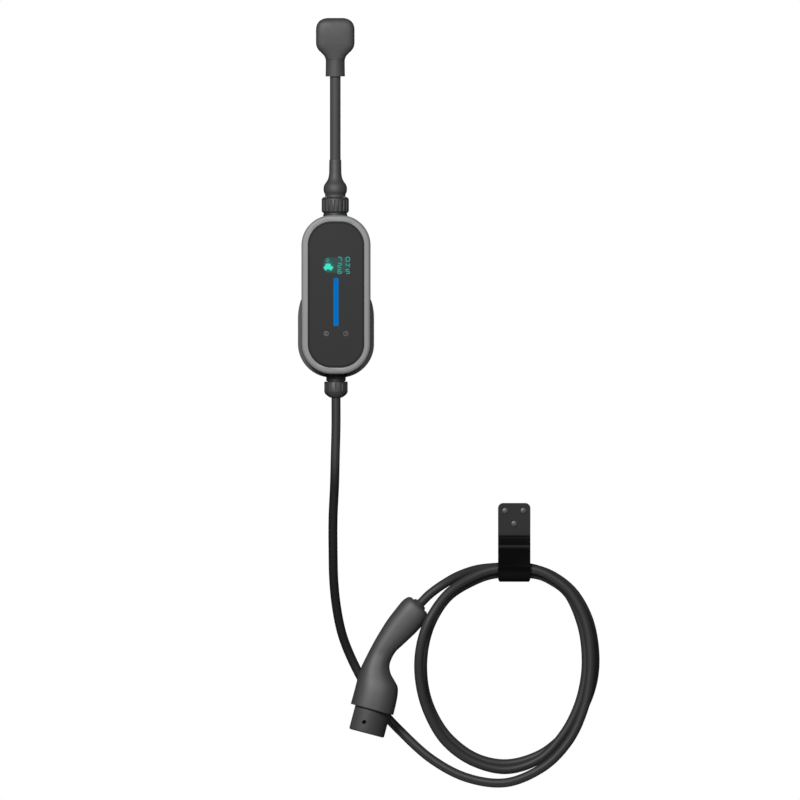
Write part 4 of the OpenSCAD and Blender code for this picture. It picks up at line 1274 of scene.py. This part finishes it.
@dataclass
class ControlBox:
    """Housing, silver border, dark panel with its lights and marks, cradle and electronics.

    The display's signs are placed from its middle: bars by x, z, width, height and corner, digits
    by x, z and value, and the ring over the car by x, z, radius and thickness. The touch marks are
    placed from their fields, whose side comes first.
    """

    width: float = 94.0
    height: float = 216.0
    middle: float = 59.0
    border: float = 8.5
    corner: float = 41.0
    panel_front: float = 61.7
    display_up: float = 40.0
    display_size: tuple[float, float, float] = (38.0, 24.5, 2.0)
    display_sunk: float = 0.05
    ground_relief: float = 0.048
    relief: float = 0.12
    car: tuple[tuple[float, ...], ...] = (
        (-10.4, -3.2, 13.0, 4.6, 1.9), (-10.8, -0.2, 7.6, 5.0, 2.0),
        (-14.0, -5.6, 3.0, 3.0, 1.5), (-7.0, -5.6, 3.0, 3.0, 1.5),
    )
    sign_ring: tuple[float, float, float, float] = (-11.4, 6.8, 2.6, 0.9)
    sign_dot: float = 1.5
    digits: tuple[tuple[float, float, int], ...] = (
        (5.0, 8.0, 7), (5.0, -0.2, 2), (5.0, -8.4, 6),
        (16.0, 8.0, 0), (16.0, -0.2, 4), (16.0, -8.4, 5),
    )
    touch_down: float = 53.0
    touch_gap: float = 26.6
    touch_radius: float = 3.3
    touch_relief: float = 0.06
    touch_rings: tuple[tuple[int, float], ...] = ((-1, 0.8), (1, 0.6))
    touch_bars: tuple[tuple[float, ...], ...] = (
        (-1, 0.0, 1.0, 0.9, 3.4, 0.4), (-1, 0.0, -1.0, 2.6, 0.8, 0.3),
        (1, 0.0, 0.9, 0.6, 2.4, 0.25), (1, 0.8, 0.0, 1.9, 0.6, 0.25),
    )
    panel_colour: Colour = (0.021, 0.021, 0.0215)
    panel_border: Colour = (0.009, 0.0095, 0.0095)

    def display(self) -> None:
        """Lit field: a dim ground, a small car with a ring over it, and plain digits."""
        up = self.middle + self.display_up
        front = self.panel_front
        ground = plates(
            "display_ground",
            [outline(0, up, *self.display_size)],
            front - self.display_sunk,
            front + self.ground_relief,
        )
        dress(ground, DisplayGround("display_glow", up * MM), "display")
        car = [outline(x, up + z, *size) for x, z, *size in self.car]
        x, z, radius, thick = self.sign_ring
        signs = ring_plates(x, up + z, radius, thick)
        signs.append(outline(x, up + z, self.sign_dot, self.sign_dot, self.sign_dot / 2))
        for x, z, value in self.digits:
            signs += digit(value, x, up + z)
        dress(plates("display_car", car, front, front + self.relief), TEAL, "display")
        dress(plates("display_signs", signs, front, front + self.relief), TEAL_SIGN, "display")

    def touch_marks(self) -> None:
        """Two printed key marks: a switch ring with its bar and a clock face with two hands."""
        down = self.middle - self.touch_down
        out = self.touch_gap / 2
        marks = []
        for side, thick in self.touch_rings:
            marks += ring_plates(side * out, down, self.touch_radius, thick)
        for side, x, z, *size in self.touch_bars:
            marks.append(outline(side * out + x, down + z, *size))
        front = self.panel_front
        piece = plates("touch_marks", marks, front, front + self.touch_relief)
        dress(piece, MARK_GREY, "touch_field")

    def build(self) -> None:
        """Dresses the whole box."""
        dress_softened({
            "rear_housing": (BOX_PLASTIC, "black_plastic", 0.0003),
            "front_bezel": (SILVER, "silver_plastic", 0.0003),
            "wall_cradle": (CRADLE_PLASTIC, "black_plastic", 0.0005),
        })
        panel = PanelFinish(
            "panel_print",
            self.panel_colour,
            self.panel_border,
            self.middle * MM,
            (self.width - 2 * self.border) * MM,
            (self.height - 2 * self.border) * MM,
            (self.corner - self.border) * MM,
        )
        dress(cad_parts["front_panel"], panel)
        dress(merged_copy("light_guide"), BLUE, "light_guide")
        self.display()
        self.touch_marks()
        dress_carried({
            "housing_gasket": SEAL_RUBBER,
            "display_module": TEAL_DIM,
            "touch_pads": MARK_GREY,
            "front_board": BOARD,
            "main_board": BOARD,
            "relays": PART_PLASTIC,
            "current_sensor": PART_PLASTIC,
            "supply_transformer": PART_PLASTIC,
            "filter_capacitors": PART_PLASTIC,
            "terminal_blocks": TERMINAL_PLASTIC,
            "board_screws": STEEL,
            "housing_screws": STEEL,
            "cradle_screws": STEEL,
            "cable_cores": CORE_SHEATH,
        })


class Couplings:
    """Inlet coupling with the lead's sleeve above the box, and the outlet gland below it."""

    def build(self) -> None:
        """Dresses both couplings."""
        dress_softened({
            "coupling_nut": (GLAND_PLASTIC, "black_plastic", 0.0003),
            "lead_sleeve": (PLUG_RUBBER, "soft_black", 0.0),
            "outlet_gland_body": (GLAND_PLASTIC, "black_plastic", 0.0003),
            "outlet_cap_nut": (GLAND_PLASTIC, "black_plastic", 0.0002),
        })
        dress_carried({
            "inlet_socket": GLAND_PLASTIC,
            "inlet_seal": SEAL_RUBBER,
            "inlet_locknut": GLAND_PLASTIC,
            "inlet_pins": BRASS,
            "outlet_seal": SEAL_RUBBER,
            "outlet_locknut": GLAND_PLASTIC,
        })


@dataclass
class MainsPlug:
    """Angled plug: a domed head with a flat back, drawn in to a neck, with face, pins and clips.

    A row of the head is a section from the top down: height below the top in shares of the head's
    height, width in shares of the head's, and how far the outer and the flat side draw in, in
    millimetres. A row of the lower part has shares of the way to the neck for both sides. The flat
    back is where what lies behind it is brought forward to it.
    """

    x: float = -1.0
    low: float = 355.7
    neck: float = 23.0
    height: float = 56.5
    width: float = 52.4
    neck_w: float = 26.4
    neck_half: float = 11.0
    back: float = 12.0
    cut_off: float = 1.0
    front: float = 44.0
    axis: float = 25.0
    head_square: float = 5.0
    neck_square: float = 2.0
    foot: tuple[float, float, float] = (3.0, 0.6, 1.6)
    around: int = 96
    between: int = 7

    def rows(self) -> Array:
        """Sections of the plug from its lower end up.

        Returns:
            One row per section: height, width, near side, far side and squareness.
        """
        top = self.low + self.neck + self.height
        near_neck, far_neck = self.axis - self.neck_half, self.axis + self.neck_half
        head = np.array([
            [0, 0.44, 8, 6], [0.02, 0.62, 5, 3.4], [0.055, 0.77, 2.6, 1.2], [0.11, 0.89, 0.9, 0.2],
            [0.18, 0.965, 0.1, 0], [0.27, 1, 0, 0], [0.42, 1, 0.5, 0], [0.6, 1, 1.8, 0],
            [0.69, 0.965, 2.7, 0],
        ])
        low = np.array([
            [0.77, 0.87, 0.44, 0.08], [0.84, 0.72, 0.54, 0.3],
            [0.91, 0.58, 0.64, 0.6], [0.97, 0.52, 0.72, 0.9],
        ])
        upper = np.stack([
            top - head[:, 0] * self.height, self.width * head[:, 1],
            self.back + head[:, 3] - self.cut_off, self.front - head[:, 2],
            np.full(len(head), self.head_square),
        ], axis=1)
        lower = np.stack([
            top - low[:, 0] * self.height, np.maximum(self.width * low[:, 1], self.neck_w),
            self.back + (near_neck - self.back) * low[:, 3],
            self.front + (far_neck - self.front) * low[:, 2],
            self.head_square + (self.neck_square - self.head_square) * low[:, 2],
        ], axis=1)
        (rise, taper, swell), square = self.foot, self.neck_square
        joint, narrow = self.low + self.neck - rise, self.neck_w - taper
        foot = np.array([
            [self.low, self.neck_w, near_neck, far_neck, square],
            [joint, narrow, near_neck, far_neck + swell, square],
        ])
        return np.vstack([foot, lower[::-1], upper[::-1]])

    def build(self) -> None:
        """Makes the smooth body and dresses the other pieces."""
        rows = self.rows()
        s = np.linspace(0, len(rows) - 1, (len(rows) - 1) * self.between + 1)
        z, w, near, far, square = curve_at(rows, s).T[:, :, None]
        turn = turns(self.around)[None, :]
        x = self.x + w / 2 * signed_power(np.cos(turn), 2 / square)
        y = -(near + far) / 2 + (far - near) / 2 * signed_power(np.sin(turn), 2 / square)
        points = np.stack([x, np.minimum(y, -self.back), np.broadcast_to(z, x.shape)], axis=-1)
        body = join_grid("plug_body_smooth", points * MM)
        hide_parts("plug_body")
        dress(body, PLUG_RUBBER, "soft_black")
        dress(merged_copy("plug_face", 0.0003), GLAND_PLASTIC, "black_plastic")
        dress(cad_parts["plug_pins"], PLATED)
        dress(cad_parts["plug_earth_clips"], BRASS)


class Side(Enum):
    """Half of the connector's shell, by its side of the parting plane."""

    FRONT = -1
    REAR = 1


@dataclass
class Connector:
    """Vehicle connector: two lofted shell halves, nose, carrier with contacts, and clamp.

    A section of the shell is a superellipse. Its point at turn a lies at minus the half width
    times the cosine's power along the section's own sideways direction, and at the half depth
    times the sine's power along Y. The places along it are close together at the lip and even
    from there on. A screw is placed by its station and its side, and its counterbore has a
    radius, a floor so far below the shell's surface, and a reach out of it. The lock's hole is
    placed by x and z, has a radius, and is cut from one y to the other.
    """

    tip: Point = (41.4, -50.0, -537.8)
    lean: float = 14.8
    nose: float = 33.4
    length: float = 154.0
    shell: tuple[float, float] = (60.0, 64.0)
    grip: tuple[float, float] = (33.0, 37.0)
    butt: tuple[float, float] = (42.5, 40.0)
    wall: float = 3.0
    hole: float = 9.6
    hole_from: float = 0.9
    hole_over: float = 0.3
    power: float = 2 / 2.5
    lip: float = 1.0
    lip_places: tuple[float, ...] = (0.0, 0.006, 0.02, 0.045, 0.08, 0.13)
    even_from: float = 0.2
    groove: tuple[float, float] = (0.22, 0.4)
    around: int = 64
    between: int = 8
    screws: tuple[tuple[int, int], ...] = ((2, -1), (2, 1), (7, -1), (11, 1))
    screw_inset: float = 5.2
    counterbore: tuple[float, float, float] = (3.1, 4.6, 12.0)
    counterbore_sides: int = 32
    nose_r: float = 27.5
    nose_flat: float = 21.5
    nose_wall: float = 2.8
    nose_back: float = 18.0
    flange: tuple[float, float] = (3.0, 1.1)
    tip_round: float = 2.4
    tip_steps: int = 7
    tip_edge: float = 0.1
    lock: tuple[float, float, float] = (-6.8, 14.0, 3.0)
    lock_cut: tuple[float, float] = (-32.5, -13.75)
    lock_sides: int = 40
    inside_nose: tuple[str, ...] = (
        "contact_carrier", "earth_tower", "line_towers", "spare_towers", "signal_towers",
    )

    @property
    def pieces(self) -> list[str]:
        """Names of all its pieces, which hang on the charging cable."""
        return [
            "handle_shell_front_smooth", "handle_shell_rear_smooth", "handle_screws",
            "connector_nose_smooth", "nose_seal", "power_contacts", "signal_contacts",
            "cable_clamp", "cable_grommet_soft", *(f"{node}_soft" for node in self.inside_nose),
        ]

    def rows(self) -> Array:
        """Stations of the shell, from the nose to the grip's end.

        Returns:
            One row per station: share of the length, shift, tilt, width and depth.
        """
        (sw, sd), (gw, gd), (bw, bd) = self.shell, self.grip, self.butt

        def mix(a: float, b: float, share: float) -> float:
            """The value so far on the way from a to b."""
            return a + (b - a) * share

        return np.array([
            [0, -1, 0, sw, sd],
            [0.09, -1, 0, sw - 0.5, sd],
            [0.18, -1.5, 0, sw - 1.5, sd - 2],
            [0.25, -3, 0, mix(sw, gw, 0.15), mix(sd, gd, 0.25)],
            [0.3, -6, 0, mix(sw, gw, 0.42), mix(sd, gd, 0.45)],
            [0.35, -9.3, 0, mix(sw, gw, 0.71), mix(sd, gd, 0.65)],
            [0.41, -10.6, -2, mix(sw, gw, 0.93), mix(sd, gd, 0.86)],
            [0.48, -9.2, -1, gw, gd],
            [0.56, -6, 5, gw, gd],
            [0.65, -0.4, 15, mix(gw, bw, 0.32), mix(gd, bd, 0.2)],
            [0.75, 6.4, 23, mix(gw, bw, 0.72), mix(gd, bd, 0.5)],
            [0.84, 13.2, 28, bw - 0.5, mix(gd, bd, 0.9)],
            [0.92, 19, 30, bw, bd],
            [0.965, 22.3, 30, bw - 2.8, bd - 2.4],
            [0.988, 23.8, 30, bw - 7.5, bd - 6.5],
            [1, 24.6, 30, bw - 14, bd - 12],
        ])

    def section(self, u: Array) -> tuple[Array, Array, Array, Array]:
        """Sections of the shell by a smooth curve through its stations.

        Args:
            u: Places along it, counted in stations from 0.

        Returns:
            Middle, sideways direction, half width and half depth at each place.
        """
        share, shift, tilt, w, d = curve_at(self.rows(), u).T
        turn = np.radians(tilt)
        flat = np.zeros_like(share)
        middle = np.stack([shift, flat, self.nose + share * self.length], axis=1)
        across = np.stack([np.cos(turn), flat, -np.sin(turn)], axis=1)
        return middle, across, w / 2, d / 2

    def in_place(self, points: Array) -> Array:
        """Turns points about Y by the nose's lean and moves them to the tip.

        Args:
            points: Places in millimetres, with the nose's axis upright and its tip at 0.

        Returns:
            The places in metres, in the frame.
        """
        c, s = math.cos(math.radians(self.lean)), math.sin(math.radians(self.lean))
        turned = np.stack(
            [
                points[..., 0] * c + points[..., 2] * s,
                points[..., 1],
                points[..., 2] * c - points[..., 0] * s,
            ],
            axis=-1,
        )
        return (turned + np.array(self.tip)) * MM

    def half(self, side: Side) -> bpy.types.Object:
        """One half: outer skin, then the inner one back, closed into a loop and carried along.

        The lip's edge is a quarter circle, and turns grow by a cosine, so that points are close
        together at the parting plane.

        Args:
            side: Which half.

        Returns:
            The new piece.
        """
        last = len(self.rows()) - 1
        u = np.concatenate(
            [self.lip_places, np.linspace(self.even_from, last, last * self.between)]
        )
        middle, across, w, d = self.section(u)
        a = np.pi * (0.5 - 0.5 * np.cos(np.linspace(0, np.pi, self.around)))
        run = np.minimum(middle[:, 2] - self.nose, self.lip)
        lip = self.lip - np.sqrt(np.maximum(self.lip**2 - (self.lip - run) ** 2, 0))

        def skin(inset: Array, hole: bool) -> Array:
            """Points of one skin.

            The groove follows the parting plane: its depth falls by the square of the distance
            from it, as an exponential does.

            Args:
                inset: How far inside the outer section it lies, by place.
                hole: Whether it is the inner skin with its hole, or the outer with the groove.

            Returns:
                Grid of places in millimetres, along the shell and round the half.
            """
            wide = (w - inset)[:, None]
            deep = (d - inset)[:, None]
            if hole:
                near_end = np.clip((u - (last - self.hole_from)) / self.hole_over, 0, 1)[:, None]
                wide = wide + (self.hole - wide) * near_end
                deep = deep + (self.hole - deep) * near_end
            cos_a, sin_a = np.cos(a)[None, :], np.sin(a)[None, :]
            sideways = wide * signed_power(cos_a, self.power)
            depth = deep * np.abs(sin_a) ** self.power
            cut, reach = self.groove
            groove = 0.0 if hole else cut * np.exp(-((depth / reach) ** 2))
            out = (sideways * (1 - groove / wide))[..., None]
            shape = middle[:, None, :] - out * across[:, None]
            shape[..., 1] = side.value * depth
            return shape

        outer = skin(lip, hole=False)
        inner = skin(np.full_like(w, self.wall), hole=True)[:, ::-1]
        points = self.in_place(np.concatenate([outer, inner], axis=1))
        name = f"handle_shell_{side.name.lower()}"
        rings, count = points.shape[:2]
        j = np.arange(self.around - 1)
        ends = np.stack([j, j + 1, count - 2 - j, count - 1 - j], axis=-1)
        ends = np.concatenate([ends, ends + (rings - 1) * count]).tolist()
        piece = join_grid(
            f"{name}_smooth", points, end_caps=False, more=ends, sharp=CUT_SHARP_ANGLE
        )
        if side is Side.REAR:
            self.drill(piece)
        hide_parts(name)
        return dress(piece, HANDLE_PLASTIC, "black_plastic")

    def drill(self, piece: bpy.types.Object) -> None:
        """Cuts the screws' counterbores into the rear half.

        Args:
            piece: The rear half.
        """
        spots = np.array(self.screws)
        middle, across, w, d = self.section(spots[:, 0].astype(float))
        radius, floor, reach = self.counterbore
        inner = w - self.screw_inset
        at = middle + (spots[:, 1] * inner)[:, None] * across
        rise = d * (1 - np.abs(inner / w) ** (2 / self.power)) ** (self.power / 2)
        a = turns(self.counterbore_sides)
        circle = radius * np.stack([np.cos(a), np.zeros_like(a), np.sin(a)], axis=1)
        cuts = [
            np.stack([circle + spot + [0, top - floor, 0], circle + spot + [0, top + reach, 0]])
            for spot, top in zip(at, rise)
        ]
        cut_away(piece, [self.in_place(cut) for cut in cuts])

    def nose_outline(
        self, inset: float, count: int = 120, flat: int = 24, rounds: int = 3
    ) -> Array:
        """Outline of the nose: a circle with one flat side, its corners rounded by averaging.

        Args:
            inset: How far inside the nose's own outline it lies.
            count: Points on the circle.
            flat: Points on the flat side.
            rounds: How often each point is averaged with its neighbours.

        Returns:
            One row of local x and y per point.
        """
        radius, level = self.nose_r - inset, self.nose_flat - inset
        end = math.acos(-level / radius)
        a = np.linspace(-end, end, count)
        arc = np.stack([radius * np.cos(a), radius * np.sin(a)], axis=1)
        side = np.linspace(arc[-1], arc[0], flat + 2)[1:-1]
        line = np.concatenate([arc, side])
        for _ in range(rounds):
            line = (np.roll(line, 1, axis=0) + 2 * line + np.roll(line, -1, axis=0)) / 4
        return line + [(self.nose_flat - self.nose_r) / 2, 0.0]

    def collar(self) -> bpy.types.Object:
        """The nose, with the lock's hole.

        One profile of inset and height is carried round the nose's outline.

        Returns:
            The new piece.
        """
        top = self.nose + self.nose_back
        a = np.linspace(0, np.pi / 2, self.tip_steps)
        tip = self.tip_round * (1 - np.stack([np.cos(a), np.sin(a)], axis=1))
        thick, out = self.flange
        low, high = self.nose + thick, self.nose + 2 * thick
        profile = [
            (0, top), (0, high), (-out, high), (-out, low), (0, low), (0, self.nose),
            *tip.tolist(), (self.nose_wall - self.tip_edge, 0), (self.nose_wall, self.tip_edge),
            (self.nose_wall, top), (0, top),
        ]
        rings = [
            np.insert(self.nose_outline(inset), 2, height, axis=1) for inset, height in profile
        ]
        piece = join_grid("connector_nose_smooth", self.in_place(np.stack(rings)), end_caps=False)
        with edited(piece.data) as work:
            bmesh.ops.remove_doubles(work, verts=work.verts, dist=SAME_POINT)
            bmesh.ops.recalc_face_normals(work, faces=work.faces)
        a = turns(self.lock_sides)
        x, z, r = self.lock
        ring = np.stack([x + r * np.cos(a), np.zeros_like(a), z + r * np.sin(a)], axis=1)
        hole = np.stack([ring + [0, y, 0] for y in self.lock_cut])
        cut_away(piece, [self.in_place(hole)])
        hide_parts("connector_nose")
        return piece

    def build(self) -> None:
        """Makes and dresses the connector."""
        self.half(Side.FRONT)
        self.half(Side.REAR)
        dress(self.collar(), NOSE_PLASTIC, "black_plastic")
        for node in self.inside_nose:
            dress(merged_copy(node, 0.0003), NOSE_PLASTIC, "black_plastic")
        dress(merged_copy("cable_grommet"), SEAL_RUBBER, "soft_black")
        dress_carried({
            "handle_screws": DARK_STEEL,
            "nose_seal": SEAL_RUBBER,
            "power_contacts": BRASS,
            "signal_contacts": BRASS,
            "cable_clamp": PART_PLASTIC,
        })


class Hook:
    """Cable hook with its screws."""

    def build(self) -> None:
        """Dresses the hook."""
        dress(merged_copy("cable_hook", 0.0006), HOOK_PLASTIC, "hook_black")
        dress_carried({"hook_screws": DARK_STEEL})


def main() -> None:
    """Builds the studio, the cords and the sub-assemblies."""
    logging.basicConfig(level=logging.INFO, format="%(name)s %(message)s")
    Studio().build()
    MainsPlug().build()
    connector = Connector()
    connector.build()
    Cord("mains_lead", "mains_cable", LEAD_ROUTE, 14.5, LEAD_SHEATH).build(
        (-1.0, -25.0, 242.7),
        "plug",
        ["plug_body_smooth", "plug_face_soft", "plug_pins", "plug_earth_clips"],
        "taut",
    )
    Cord("charging_cord", "charging_cable", CHARGING_ROUTE, 12.4, SHEATH).build(
        (0.0, -25.0, -81.2), "connector", connector.pieces, "hanging"
    )
    ControlBox().build()
    Couplings().build()
    Hook().build()


if __name__ == "__main__":
    main()
